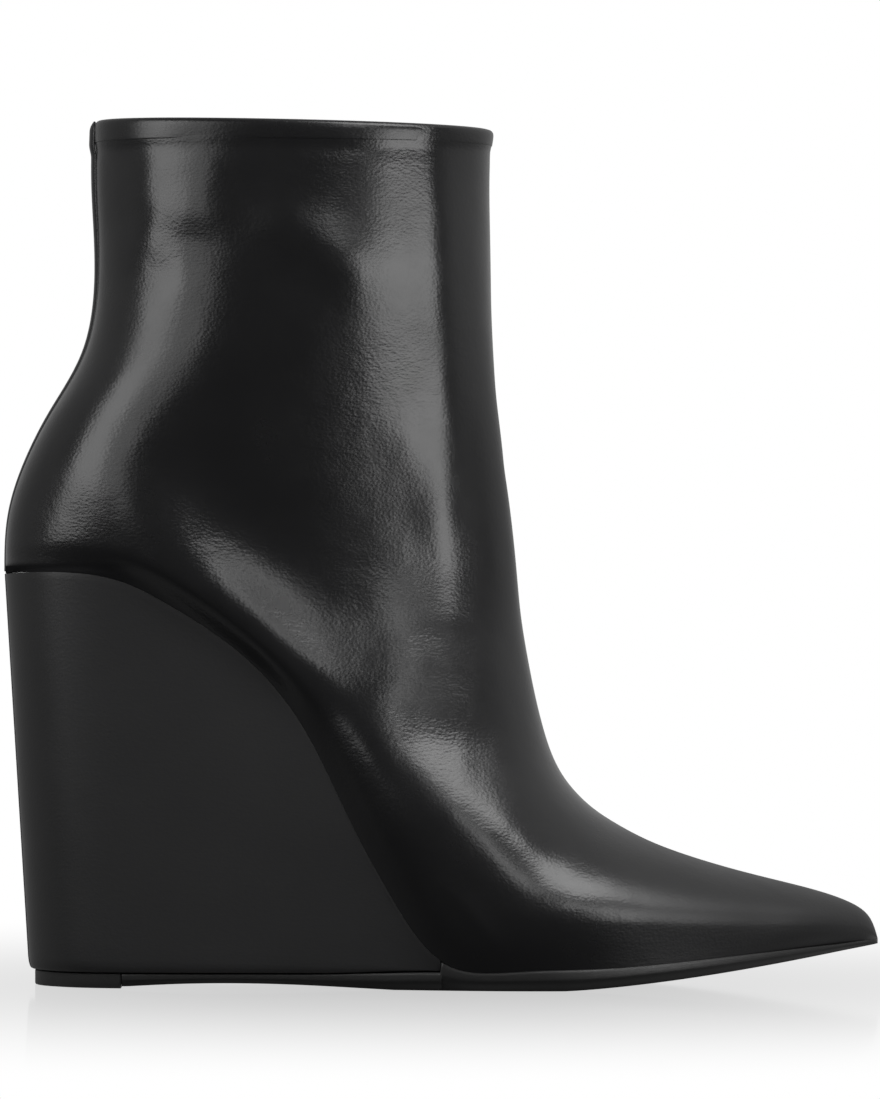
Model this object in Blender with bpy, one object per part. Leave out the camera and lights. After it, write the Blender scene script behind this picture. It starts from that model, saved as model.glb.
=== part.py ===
"""Women's wedge ankle boot for the right foot, in black leather, as an assembly of seven solids.

+X points to the toe, +Y to the inner side of the foot, +Z up, and the origin is on the floor under
the middle of the boot's box. Sizes are in millimetres and turned into metres when a mesh is made.
Every piece is worked out from one set of section planes: each plane holds the Y direction and
joins a point of the back or bottom line of the foot to a point of its front line.
"""
import bmesh
import bpy
import numpy as np

MM = 0.001

# Overall sizes
BOOT_LENGTH = 232.4
BOOT_HEIGHT = 228.6
HEEL_HEIGHT = 108.6
UPPER_WIDTH = 80.0
SOLE_WIDTH = 75.0

# Floor and sole
TOE_SPRING = 10.4
TOE_TIP_HEIGHT = 11.7
FEATHER_HEIGHT = 5.2
OUTSOLE_WAIST_TOP = 3.8
OUTSOLE_WAIST_THICKNESS = 2.4
SOLE_EDGE = 0.5
SOLE_BEVEL = 2.2
TOP_PIECE_HEIGHT = 3.9
TOP_PIECE_LENGTH = 25.0
TOP_PIECE_INSET = 1.0
HEEL_RAKE = 6.4
WEDGE_TAPER = 0.97
WEDGE_TUCK = 0.8

# Walls and trim
WALL = 2.0
INSOLE_THICKNESS = 2.0
BINDING_THICKNESS = 0.7
BINDING_DEPTH = 5.0
SEAM_WIDTH_TOP = 6.4
SEAM_WIDTH_HEEL = 3.6
SEAM_RISE_TOP = 1.5
SEAM_RISE_HEEL = 0.7
SEAM_ROUND = 0.86
SEAM_STEPS = 34
SEAM_STEP_DOWN = 5.0
BINDING_SHOULDER = 0.6
BINDING_CORNER = 0.35
BINDING_CORNER_DROP = 0.3
BINDING_CROWN = 0.2
TOP_PIECE_CLEARANCE = 0.4
TOP_PIECE_ROUND = 6.0
GAP = 0.3

# Places that follow from the sizes above
HEEL_BACK = -BOOT_LENGTH / 2 + GAP + SEAM_RISE_HEEL
TOE_TIP = BOOT_LENGTH / 2
LAST_LENGTH = TOE_TIP - HEEL_BACK
UPPER_TOP = BOOT_HEIGHT - BINDING_THICKNESS - GAP

# Section planes, from the collar to the toe tip. back_x and front_x are shares of the last's length
# from the heel back. back_z is a share of the height from the seat to the top edge in zone "shaft",
# of the height from the ball to the seat in zone "seat", and of the toe's lift in zone "toe".
# front_z is a share of the height from the toe tip to the top edge. half_width is a share of half
# the upper's width, and widest is where along the plane it lies.
SECTION_COLUMNS = ("zone", "back_x", "back_z", "front_x", "front_z", "half_width", "widest")
SECTIONS = (
    ("shaft", 0.104, 1.000, 0.557, 0.989, 0.825, 0.500),
    ("shaft", 0.103, 0.855, 0.554, 0.931, 0.832, 0.500),
    ("shaft", 0.106, 0.676, 0.555, 0.847, 0.835, 0.490),
    ("shaft", 0.092, 0.498, 0.556, 0.779, 0.827, 0.454),
    ("shaft", 0.051, 0.354, 0.558, 0.726, 0.806, 0.419),
    ("shaft", 0.016, 0.213, 0.561, 0.675, 0.774, 0.394),
    ("shaft", 0.002, 0.102, 0.565, 0.636, 0.744, 0.368),
    ("seat", 0.000, 1.000, 0.569, 0.599, 0.722, 0.343),
    ("seat", 0.008, 1.002, 0.571, 0.578, 0.716, 0.321),
    ("seat", 0.036, 1.005, 0.575, 0.548, 0.712, 0.280),
    ("seat", 0.084, 1.003, 0.580, 0.506, 0.710, 0.215),
    ("seat", 0.141, 0.977, 0.585, 0.453, 0.711, 0.161),
    ("seat", 0.204, 0.904, 0.590, 0.397, 0.719, 0.134),
    ("seat", 0.271, 0.800, 0.598, 0.344, 0.740, 0.143),
    ("seat", 0.328, 0.662, 0.607, 0.296, 0.774, 0.200),
    ("seat", 0.369, 0.502, 0.617, 0.254, 0.820, 0.270),
    ("seat", 0.404, 0.340, 0.628, 0.221, 0.868, 0.325),
    ("seat", 0.439, 0.198, 0.642, 0.195, 0.912, 0.362),
    ("seat", 0.476, 0.072, 0.659, 0.174, 0.948, 0.374),
    ("toe", 0.525, 0.020, 0.679, 0.156, 0.978, 0.370),
    ("toe", 0.598, 0.025, 0.709, 0.136, 1.000, 0.370),
    ("toe", 0.678, 0.110, 0.752, 0.114, 0.965, 0.380),
    ("toe", 0.768, 0.340, 0.813, 0.092, 0.840, 0.380),
    ("toe", 0.842, 0.560, 0.872, 0.075, 0.660, 0.380),
    ("toe", 0.907, 0.745, 0.927, 0.060, 0.470, 0.390),
    ("toe", 0.956, 0.875, 0.967, 0.045, 0.270, 0.400),
    ("toe", 0.984, 0.955, 0.990, 0.027, 0.115, 0.420),
    ("toe", 1.000, 1.000, 1.000, 0.000, 0.000, 0.450),
)
HEEL_CORNER = 7
SHANK_END = 18.5
TOE_ROUNDING_START = 23.0

# Outline of the sole at the feather line, by share of the length. half_width and the sideways bend
# of the last are shares of half the sole's width, and the bend is positive towards the inner side.
# Above the feather line the upper rolls out: roll is its share of the outline's half width, and
# roll_height is a share of half the upper's width.
OUTLINE_COLUMNS = ("along", "half_width", "bend", "roll", "roll_height")
OUTLINE = (
    (0.00, 0.000, 0.000, 0.010, 0.22),
    (0.03, 0.443, 0.000, 0.025, 0.22),
    (0.06, 0.581, 0.000, 0.042, 0.22),
    (0.10, 0.651, -0.002, 0.078, 0.22),
    (0.16, 0.672, -0.010, 0.122, 0.23),
    (0.25, 0.667, -0.032, 0.138, 0.28),
    (0.34, 0.680, -0.058, 0.160, 0.37),
    (0.42, 0.747, -0.075, 0.160, 0.46),
    (0.49, 0.840, -0.072, 0.128, 0.48),
    (0.55, 0.928, -0.050, 0.093, 0.44),
    (0.61, 0.987, -0.018, 0.072, 0.39),
    (0.65, 1.000, 0.008, 0.064, 0.36),
    (0.71, 0.965, 0.045, 0.060, 0.31),
    (0.77, 0.875, 0.078, 0.062, 0.26),
    (0.83, 0.720, 0.105, 0.068, 0.20),
    (0.89, 0.512, 0.128, 0.078, 0.14),
    (0.94, 0.302, 0.143, 0.090, 0.10),
    (0.98, 0.135, 0.152, 0.100, 0.07),
    (1.00, 0.000, 0.155, 0.100, 0.06),
)

# Underside of the outsole: share of the length and share of the waist's clearance over the floor.
ARCH = ((0.143, 0.40), (0.20, 0.85), (0.26, 1.00), (0.33, 0.80), (0.40, 0.32), (0.445, 0.00))
FOREFOOT_FLAT_END = 0.636
TOE_SPRING_CURVE = 1.35

# Sections between which the heel's corner is evened out, how far the evening reaches, and the
# distance from the edge over which it sets in
EVEN_START = 3.0
EVEN_END = 13.0
EVEN_REACH = 6.0
EVEN_EDGE = 10.0

# Sections between which the outsole's waist thickens, and millimetres before and after the wedge's
# front end between which its side comes out from under the wedge
WAIST_THIN_END = 14.0
WAIST_THICK_START = 19.0
SIDE_OUT_BEFORE = 30.0
SIDE_OUT_AFTER = 12.0
WAIST_STEPS = 14
SOLE_NARROW = 8.0
WAIST_BEVEL = 0.4

# Half width under which the wall thins with the section, and where the bend of the last fades out,
# as shares of the heel's height
NARROW = 12.0
BEND_FULL = 0.35
BEND_FADE = 0.6

# Power of the superellipse behind the widest point, and the steps of the mesh
POWER = 2.2
ROWS_PER_SECTION = 2
LOW_STEPS = 7
HIGH_STEPS = 10


def column(table, names, name):
    """One named column of a table, as an array."""
    return np.array([row[names.index(name)] for row in table], dtype=float)


def spline(knots, values, at):
    """Natural cubic spline through the knots: slopes of slopes are solved once, then evaluated."""
    knots = np.asarray(knots, float)
    values = np.asarray(values, float)
    count = len(knots)
    step = np.diff(knots)
    matrix = np.eye(count)
    right = np.zeros(count)
    inner = np.arange(1, count - 1)
    matrix[inner, inner - 1] = step[:-1]
    matrix[inner, inner] = 2 * (step[:-1] + step[1:])
    matrix[inner, inner + 1] = step[1:]
    right[inner] = 6 * np.diff(np.diff(values) / step)
    bend = np.linalg.solve(matrix, right)
    at = np.asarray(at, float)
    k = np.clip(np.searchsorted(knots, at, side="right") - 1, 0, count - 2)
    ahead = knots[k + 1] - at
    behind = at - knots[k]
    curve = (bend[k] * ahead ** 3 + bend[k + 1] * behind ** 3) / (6 * step[k])
    line = (values[k] / step[k] - bend[k] * step[k] / 6) * ahead
    return curve + line + (values[k + 1] / step[k] - bend[k + 1] * step[k] / 6) * behind


def smooth(value, start, end):
    """Soft step from 0 at start to 1 at end."""
    u = np.clip((value - start) / (end - start), 0, 1)
    return u * u * (3 - 2 * u)


def back_height(zone, share):
    """Height in millimetres that a share of the back or bottom line stands for."""
    if zone == "shaft":
        return HEEL_HEIGHT + share * (UPPER_TOP - HEEL_HEIGHT)
    if zone == "seat":
        return FEATHER_HEIGHT + share * (HEEL_HEIGHT - FEATHER_HEIGHT)
    return FEATHER_HEIGHT + share * (TOE_TIP_HEIGHT - FEATHER_HEIGHT)


SECTION_AT = np.arange(len(SECTIONS), dtype=float)
BACK_X = HEEL_BACK + LAST_LENGTH * column(SECTIONS, SECTION_COLUMNS, "back_x")
BACK_Z = np.array([back_height(row[0], row[2]) for row in SECTIONS])
FRONT_X = HEEL_BACK + LAST_LENGTH * column(SECTIONS, SECTION_COLUMNS, "front_x")
FRONT_Z = TOE_TIP_HEIGHT + (UPPER_TOP - TOE_TIP_HEIGHT) * column(SECTIONS, SECTION_COLUMNS, "front_z")
HALF_WIDTH = UPPER_WIDTH / 2 * column(SECTIONS, SECTION_COLUMNS, "half_width")
WIDEST = column(SECTIONS, SECTION_COLUMNS, "widest")
OUTLINE_X = HEEL_BACK + LAST_LENGTH * column(OUTLINE, OUTLINE_COLUMNS, "along")
OUTLINE_SQUARE = (SOLE_WIDTH / 2 * column(OUTLINE, OUTLINE_COLUMNS, "half_width")) ** 2
BEND = SOLE_WIDTH / 2 * column(OUTLINE, OUTLINE_COLUMNS, "bend")
ROLL = column(OUTLINE, OUTLINE_COLUMNS, "roll")
ROLL_HEIGHT = UPPER_WIDTH / 2 * column(OUTLINE, OUTLINE_COLUMNS, "roll_height")
HEEL_HALF_WIDTH = float(np.sqrt(OUTLINE_SQUARE[4]))


def outline(x):
    """Half width of the sole at x. The square of it is splined, so both ends close round."""
    square = spline(OUTLINE_X, OUTLINE_SQUARE, np.clip(x, OUTLINE_X[0], OUTLINE_X[-1]))
    return np.sqrt(np.clip(square, 0, None))


def bent(points):
    """Shifts points sideways by the bend of the last, which fades out up the shaft."""
    low = HEEL_HEIGHT * BEND_FULL
    fade = 1 - smooth(points[..., 2], low, low + HEEL_HEIGHT * BEND_FADE)
    shifted = points.copy()
    shifted[..., 1] += fade * spline(OUTLINE_X, BEND, np.clip(points[..., 0], OUTLINE_X[0], OUTLINE_X[-1]))
    return shifted


def back_line(t):
    """Back and bottom line of the foot in the XZ plane, with its corner where the seat begins."""
    up = slice(0, HEEL_CORNER + 1)
    down = slice(HEEL_CORNER, None)
    lines = []
    for values in (BACK_X, BACK_Z):
        back = spline(SECTION_AT[up], values[up], np.minimum(t, HEEL_CORNER))
        sole = spline(SECTION_AT[down], values[down], np.maximum(t, HEEL_CORNER))
        lines.append(np.where(np.asarray(t) < HEEL_CORNER, back, sole))
    return lines[0], lines[1]


def front_line(t):
    """Front line of the shaft and ridge of the vamp in the XZ plane."""
    return spline(SECTION_AT, FRONT_X, t), spline(SECTION_AT, FRONT_Z, t)


def feather_height(x):
    """Height of the bottom line at x, from the heel corner to the toe tip."""
    t = np.linspace(HEEL_CORNER, SECTION_AT[-1], 400)
    line_x, line_z = back_line(t)
    return np.interp(x, line_x, line_z)


def feather_slope(x):
    """Rise of the bottom line at x for each millimetre forward."""
    reach = 0.5
    return (feather_height(x + reach) - feather_height(x - reach)) / (2 * reach)


def rolled(points):
    """Draws points in towards the feather line, from nothing at the roll's height to the outline.

    The draw falls with the square of the distance to the feather line, seen from the side.
    """
    line_x, line_z = back_line(np.linspace(HEEL_CORNER, SECTION_AT[-1], 160))
    away = np.hypot(points[..., 0, None] - line_x, points[..., 2, None] - line_z)
    nearest = line_x[away.argmin(axis=-1)]
    roll = spline(OUTLINE_X, ROLL, nearest)
    height = spline(OUTLINE_X, ROLL_HEIGHT, nearest)
    draw = roll / (1 + roll) * np.clip(1 - away.min(axis=-1) / height, 0, 1) ** 2
    drawn = points.copy()
    drawn[..., 1] *= 1 - draw
    return drawn


def inward(line, t, turn):
    """Unit normal of a profile line, turned to the side that turn gives."""
    reach = 0.05
    ax, az = line(np.clip(t - reach, 0, SECTION_AT[-1]))
    bx, bz = line(np.clip(t + reach, 0, SECTION_AT[-1]))
    length = np.hypot(bx - ax, bz - az)
    return -turn * (bz - az) / length, turn * (bx - ax) / length


def section_ends(t, inset):
    """Ends of each section plane, moved in by the inset but kept on the bottom line where it opens."""
    bx, bz = back_line(t)
    nx, nz = inward(back_line, t, 1)
    level = smooth(t, HEEL_CORNER - 2, HEEL_CORNER)
    nx = nx + (1 - nx) * level
    nz = nz * (1 - level)
    toe = smooth(t, TOE_ROUNDING_START, SECTION_AT[-1])
    slide = inset * (1 - smooth(t, HEEL_CORNER, HEEL_CORNER + 5)) - inset * toe
    open_x = bx + slide
    back_x = np.where(t < HEEL_CORNER, bx + inset * nx, open_x)
    back_z = np.where(t < HEEL_CORNER, bz + inset * nz, feather_height(open_x))
    fx, fz = front_line(t)
    mx, mz = inward(front_line, t, -1)
    mx = mx + (-1 - mx) * toe
    mz = mz * (1 - toe)
    front_x = fx + inset * mx
    front_z = fz + inset * mz
    last = t >= SECTION_AT[-1]
    front_x = np.where(last, back_x, front_x)
    front_z = np.where(last, back_z, front_z)
    return back_x, back_z, front_x, front_z


def bottom_rim(t, inset):
    """Place, half width and height of the upper's bottom edge, on its outer or inner skin."""
    x, z, _, _ = section_ends(t, inset)
    return x, outline(back_line(t)[0]) * (1 - inset / HEEL_HALF_WIDTH), z


def plain_section(t, low, high, inset):
    """Half of each section as it is drawn: a superellipse up to the widest point, then an ellipse.

    The superellipse starts at the foot's half width over the sole, or at zero where the section
    closes at the back, and the ellipse runs down to zero at the front line.
    """
    t = np.asarray(t, float)[:, None]
    bx, bz, fx, fz = section_ends(t, inset)
    width = spline(SECTION_AT, HALF_WIDTH, t)
    width = np.clip(width - inset * np.clip(width / NARROW, 0, 1), 0, None)
    widest = spline(SECTION_AT, WIDEST, t)
    foot = bottom_rim(t, inset)[1] * (1 + spline(OUTLINE_X, ROLL, back_line(t)[0]))
    tuck = np.where(t > HEEL_CORNER, foot, 0) / np.maximum(width, 1e-6)
    turn_low = np.linspace(0, np.pi / 2, low + 1)[None, :]
    reach = np.cos(turn_low) ** (2 / POWER)
    low_y = width * (1 - (1 - tuck ** POWER) * reach ** POWER) ** (1 / POWER)
    low_share = widest * (1 - reach)
    turn_high = np.linspace(0, np.pi / 2, high + 1)[None, 1:]
    high_y = width * np.cos(turn_high)
    high_y[:, -1] = 0
    high_share = widest + (1 - widest) * np.sin(turn_high)
    share = np.concatenate([low_share + 0 * t, high_share + 0 * t], axis=1)
    y = np.concatenate([low_y, high_y], axis=1)
    return np.stack([bx + (fx - bx) * share, y, bz + (fz - bz) * share], axis=-1)


def evened(points, t, inset):
    """Evens out the width over the heel's corner, where the section planes turn quickly.

    The square of the width is replaced by a plane fitted to it around each point, with weights that
    fall with distance as a bell curve. The change fades out away from the corner and the edges.
    """
    rows = section_rows(EVEN_START, EVEN_END)
    source = plain_section(rows, LOW_STEPS, HIGH_STEPS, inset)
    along = np.hypot(*np.moveaxis(np.gradient(source[..., ::2], axis=0), -1, 0))
    across = np.hypot(*np.moveaxis(np.gradient(source[..., ::2], axis=1), -1, 0))
    area = (along * across).ravel()
    source = source.reshape(-1, 3)
    flat = points.reshape(-1, 3)
    dx = source[None, :, 0] - flat[:, None, 0]
    dz = source[None, :, 2] - flat[:, None, 2]
    weight = area * np.exp(-(dx ** 2 + dz ** 2) / (2 * EVEN_REACH ** 2))
    terms = np.stack([np.ones_like(dx), dx, dz], axis=-1)
    normal = np.einsum("pk,pki,pkj->pij", weight, terms, terms) + 1e-9 * np.eye(3)
    right = np.einsum("pk,pki,k->pi", weight, terms, source[:, 1] ** 2)
    square = np.linalg.solve(normal, right[..., None])[:, 0, 0].reshape(points.shape[:2])
    near = smooth(t, EVEN_START, HEEL_CORNER - 1) * (1 - smooth(t, HEEL_CORNER + 2, EVEN_END))
    from_back = np.hypot(points[..., 0] - points[:, :1, 0], points[..., 2] - points[:, :1, 2])
    part = near[:, None] * smooth(from_back, 1, EVEN_EDGE)
    evened_points = points.copy()
    plain = points[..., 1] ** 2
    evened_points[..., 1] = np.sqrt(np.clip(plain + (square - plain) * part, 0, None))
    evened_points[:, -1, 1] = 0
    return evened_points


def half_section(t, low, high, inset=0.0):
    """Half of each section from its back or bottom end to the front line, evened and drawn in."""
    points = plain_section(t, low, high, inset)
    return rolled(evened(points, np.asarray(t, float), inset))


def whole_section(t, low, high, inset=0.0):
    """Both halves of each section, from the inner side's bottom over the front to the outer side's."""
    inner = half_section(t, low, high, inset)
    outer = inner[:, ::-1][:, 1:] * np.array([1, -1, 1])
    return bent(np.concatenate([inner, outer], axis=1))


def section_rows(start, end):
    """Places of the mesh's rows between two sections."""
    return np.linspace(start, end, int(round((end - start) * ROWS_PER_SECTION)) + 1)


def make_material(name, colour, roughness):
    """Plain finish with a colour and a roughness."""
    material = bpy.data.materials.new(name)
    material.use_nodes = True
    shader = material.node_tree.nodes["Principled BSDF"]
    shader.inputs["Base Color"].default_value = (*colour, 1)
    shader.inputs["Roughness"].default_value = roughness
    shader.inputs["Metallic"].default_value = 0
    return material


def make_solid(name, points, faces, material):
    """Mesh object from points in millimetres, with its doubles merged and faces turned outwards."""
    mesh = bpy.data.meshes.new(name)
    mesh.from_pydata((np.asarray(points).reshape(-1, 3) * MM).tolist(), [], faces)
    work = bmesh.new()
    work.from_mesh(mesh)
    bmesh.ops.remove_doubles(work, verts=work.verts, dist=0.00001)
    bmesh.ops.recalc_face_normals(work, faces=work.faces)
    bmesh.ops.triangulate(work, faces=work.faces)
    work.to_mesh(mesh)
    work.free()
    mesh.shade_smooth()
    mesh.set_sharp_from_angle(angle=np.radians(40))
    solid = bpy.data.objects.new(name, mesh)
    solid.data.materials.append(material)
    bpy.context.scene.collection.objects.link(solid)
    return solid


def grid_faces(rows, columns, start=0):
    """Quads over a grid of points that is stored row by row."""
    return [
        (start + i * columns + j, start + i * columns + j + 1,
         start + (i + 1) * columns + j + 1, start + (i + 1) * columns + j)
        for i in range(rows - 1) for j in range(columns - 1)
    ]


def loop_faces(rows, columns, start=0):
    """Quads over a grid whose last column joins its first."""
    return [
        (start + i * columns + j, start + i * columns + (j + 1) % columns,
         start + (i + 1) * columns + (j + 1) % columns, start + (i + 1) * columns + j)
        for i in range(rows - 1) for j in range(columns)
    ]


def make_upper(material):
    """Hollow shell of vamp and shaft: outer and inner skins, joined at the collar and the feather."""
    t = section_rows(0, SECTION_AT[-1])
    outer = whole_section(t, LOW_STEPS, HIGH_STEPS)
    inner = whole_section(t, LOW_STEPS, HIGH_STEPS, WALL)
    rows, columns = outer.shape[:2]
    corner = HEEL_CORNER * ROWS_PER_SECTION
    for skin in (outer, inner):
        skin[-1, :] = skin[-1, 0]
    skin_size = rows * columns
    faces = grid_faces(rows, columns)
    faces += [face[::-1] for face in grid_faces(rows, columns, skin_size)]
    for j in range(columns - 1):
        faces.append((j + 1, j, skin_size + j, skin_size + j + 1))
    for i in range(corner, rows - 1):
        for j, flip in ((0, False), (columns - 1, True)):
            near = i * columns + j
            far = near + columns
            face = (near, far, skin_size + far, skin_size + near)
            faces.append(face[::-1] if flip else face)
    return make_solid("upper", np.concatenate([outer, inner]), faces, material)


def collar_ring(t, inset):
    """Closed ring of the shaft at one section, with its unit normals in the level plane."""
    ring = whole_section([t], LOW_STEPS, HIGH_STEPS, inset)[0][:-1]
    ahead = np.roll(ring, -1, axis=0) - np.roll(ring, 1, axis=0)
    normal = np.stack([ahead[:, 1], -ahead[:, 0], np.zeros(len(ring))], axis=1)
    normal /= np.linalg.norm(normal, axis=1)[:, None]
    middle = ring.mean(axis=0)
    facing = np.sign(((ring - middle) * normal).sum(axis=1))
    return ring, normal * facing[:, None]


def depth_below_collar(depth):
    """Section place that lies a depth under the top edge, measured down the back."""
    t = np.linspace(0, 3, 200)
    return float(np.interp(depth, UPPER_TOP - back_line(t)[1], t))


def make_collar_binding(material):
    """Folded band over the top edge: a ring with the section of an upturned trough."""
    foot_at = depth_below_collar(BINDING_DEPTH)
    outer_top, out = collar_ring(0.0, 0.0)
    outer_foot, _ = collar_ring(foot_at, 0.0)
    inner_top, _ = collar_ring(0.0, WALL)
    inner_foot, _ = collar_ring(foot_at, WALL)
    up = np.array([0.0, 0.0, 1.0])
    near = GAP
    far = GAP + BINDING_THICKNESS
    profile = (
        outer_foot + out * near,
        outer_foot + out * far,
        outer_top + out * far - up * BINDING_SHOULDER,
        outer_top + out * (far - BINDING_CORNER) + up * (far - BINDING_CORNER_DROP),
        outer_top - out * BINDING_CROWN + up * far,
        inner_top + out * BINDING_CROWN + up * far,
        inner_top - out * (far - BINDING_CORNER) + up * (far - BINDING_CORNER_DROP),
        inner_top - out * far - up * BINDING_SHOULDER,
        inner_foot - out * far,
        inner_foot - out * near,
        inner_top - out * near + up * near,
        outer_top + out * near + up * near,
    )
    loop = np.stack(profile, axis=0)
    rows, columns = loop.shape[:2]
    closed = np.concatenate([loop, loop[:1]], axis=0)
    return make_solid("collar_binding", closed, loop_faces(rows + 1, columns), material)


def make_back_seam(material):
    """Raised strip down the centre back, over the binding: half round, and narrower to the heel."""
    t = np.linspace(0, HEEL_CORNER - 0.05, SEAM_STEPS)
    across = np.array([-1.0, -0.5, 0.0, 0.5, 1.0])
    down = smooth(t, 0, HEEL_CORNER)[:, None]
    half = (SEAM_WIDTH_TOP + (SEAM_WIDTH_HEEL - SEAM_WIDTH_TOP) * down) / 2
    rise = SEAM_RISE_TOP + (SEAM_RISE_HEEL - SEAM_RISE_TOP) * down
    y = half * across
    bx, bz, fx, fz = (value[:, None] for value in section_ends(t, 0.0))
    width = spline(SECTION_AT, HALF_WIDTH, t)[:, None]
    widest = spline(SECTION_AT, WIDEST, t)[:, None]
    ahead = widest * (1 - (1 - (np.abs(y) / width) ** POWER) ** (1 / POWER))
    nx, nz = (-value[:, None] for value in inward(back_line, t, 1))
    over_binding = 1 - smooth(UPPER_TOP - bz, BINDING_DEPTH + GAP, BINDING_DEPTH + SEAM_STEP_DOWN)
    clear = GAP + over_binding * (BINDING_THICKNESS + GAP)
    skin_x = bx + (fx - bx) * ahead
    skin_z = bz + (fz - bz) * ahead + (BOOT_HEIGHT - GAP - UPPER_TOP) * (t[:, None] == 0)
    crown = rise * np.sqrt(np.clip(1 - SEAM_ROUND * across ** 2, 0, None))
    under = np.stack([skin_x + nx * clear, y, skin_z + nz * clear], axis=-1)
    over = np.stack([skin_x + nx * (clear + crown), y, skin_z + nz * (clear + crown)], axis=-1)
    loop = np.concatenate([under, over[:, ::-1]], axis=1)
    rows, columns = loop.shape[:2]
    faces = loop_faces(rows, columns)
    faces += [tuple(range(columns))[::-1], tuple(range((rows - 1) * columns, rows * columns))]
    return make_solid("back_seam", bent(loop), faces, material)


def outsole_under(x):
    """Underside of the outsole: arch, forefoot flat and toe spring."""
    share = (x - HEEL_BACK) / LAST_LENGTH
    clearance = OUTSOLE_WAIST_TOP - OUTSOLE_WAIST_THICKNESS
    arch = clearance * spline([row[0] for row in ARCH], [row[1] for row in ARCH],
                              np.clip(share, ARCH[0][0], ARCH[-1][0]))
    lift = np.clip((share - FOREFOOT_FLAT_END) / (1 - FOREFOOT_FLAT_END), 0, 1)
    return np.where(share < ARCH[-1][0], np.clip(arch, 0, None), TOE_SPRING * lift ** TOE_SPRING_CURVE)


def outsole_waist_top(x):
    """Top of the outsole under the wedge, which thickens towards the ball."""
    start, _ = back_line(WAIST_THIN_END)
    end, _ = back_line(WAIST_THICK_START)
    return OUTSOLE_WAIST_TOP + (FEATHER_HEIGHT - GAP - OUTSOLE_WAIST_TOP) * smooth(x, start, end)


def floor_x(x, seat_back, floor_back):
    """Place at floor level under a place at the feather line, drawn in by the heel's rake."""
    front, _ = back_line(SHANK_END)
    return floor_back + (x - seat_back) * (front - floor_back) / (front - seat_back)


def stack_solid(name, levels, material):
    """Solid from levels of outline points, each a row of stations and two sides, capped all over.

    Each level is an array of stations by (x, half width, z). The first level is the top.
    """
    loops = []
    for level in levels:
        left = np.stack([level[:, 0], level[:, 1], level[:, 2]], axis=-1)
        right = left[::-1] * np.array([1, -1, 1])
        loops.append(bent(np.concatenate([left, right])))
    loop = np.stack(loops)
    rows, columns = loop.shape[:2]
    stations = columns // 2
    faces = loop_faces(rows, columns)
    for start, flip in ((0, False), ((rows - 1) * columns, True)):
        for i in range(stations - 1):
            face = (start + i, start + i + 1, start + columns - 2 - i, start + columns - 1 - i)
            faces.append(face[::-1] if flip else face)
    return make_solid(name, loop, faces, material)


def make_wedge(material):
    """Covered wedge: its top follows the feather line, and its sides run down to the floor outline."""
    t = section_rows(HEEL_CORNER, SHANK_END)
    top_x, top_z = back_line(t)
    slope = feather_slope(top_x)
    top_z = top_z - GAP * np.sqrt(1 + slope ** 2)
    half = outline(top_x)
    half[0] = 0
    seat_back = top_x[0]
    floor_back = seat_back + HEEL_RAKE
    low_x = floor_x(top_x, seat_back, floor_back)
    low_z = np.maximum(outsole_waist_top(low_x), TOP_PIECE_HEIGHT) + GAP
    levels = []
    for share in (0.0, 0.12, 0.3, 0.5, 0.7, 0.9, 0.97):
        levels.append(np.stack([top_x + (low_x - top_x) * share, half * (1 - (1 - WEDGE_TAPER) * share),
                                top_z + (low_z - top_z) * share], axis=-1))
    inset_x = floor_x(top_x, seat_back, floor_back + WEDGE_TUCK)
    inset = WEDGE_TUCK * half / HEEL_HALF_WIDTH
    levels.append(np.stack([inset_x, half * WEDGE_TAPER - inset, low_z], axis=-1))
    return stack_solid("wedge", levels, material)


def make_outsole(material):
    """Thin sole from the heel piece to the toe tip, with a bevelled side."""
    piece_front = HEEL_BACK + HEEL_RAKE + TOP_PIECE_LENGTH
    wedge_front, _ = back_line(SHANK_END)
    waist = np.linspace(piece_front + GAP, wedge_front, WAIST_STEPS)
    step = wedge_front + GAP
    ball, _ = back_line(section_rows(SHANK_END, SECTION_AT[-1])[1:])
    fore = np.concatenate([[step], ball])
    x = np.concatenate([waist, fore])
    fore_top = feather_height(fore) - GAP
    top = np.concatenate([outsole_waist_top(waist), fore_top])
    half = outline(x)
    half[-1] = 0
    under = outsole_under(x)
    forefoot = smooth(x, wedge_front - SIDE_OUT_BEFORE, wedge_front + SIDE_OUT_AFTER)
    flush = half * WEDGE_TAPER - WEDGE_TUCK - GAP
    levels = []
    for share, edge in ((0.0, 0.0), (0.15, SOLE_EDGE), (0.45, SOLE_EDGE), (1.0, SOLE_EDGE - SOLE_BEVEL)):
        side = half + edge * np.clip(half / SOLE_NARROW, 0, 1)
        low_side = flush + (edge - SOLE_EDGE) * WAIST_BEVEL
        side = low_side + (side - low_side) * forefoot
        levels.append(np.stack([x, side, top + (under - top) * share], axis=-1))
    return stack_solid("outsole", levels, material)


def make_top_piece(material):
    """Rubber piece under the heel, flat on the floor."""
    back = HEEL_BACK + HEEL_RAKE + TOP_PIECE_INSET + TOP_PIECE_CLEARANCE
    front = HEEL_BACK + HEEL_RAKE + TOP_PIECE_LENGTH
    turn = np.linspace(0, np.pi / 2, 12)
    x = back + (front - back) * (1 - np.cos(turn))
    inset = (WEDGE_TUCK + GAP) * np.clip((x - back) / TOP_PIECE_ROUND, 0, 1)
    half = outline(HEEL_BACK + (x - back)) * WEDGE_TAPER - inset
    half[0] = 0
    levels = [np.stack([x, np.clip(half, 0, None), np.full_like(x, height)], axis=-1)
              for height in (TOP_PIECE_HEIGHT, 0.0)]
    return stack_solid("heel_top_piece", levels, material)


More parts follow.
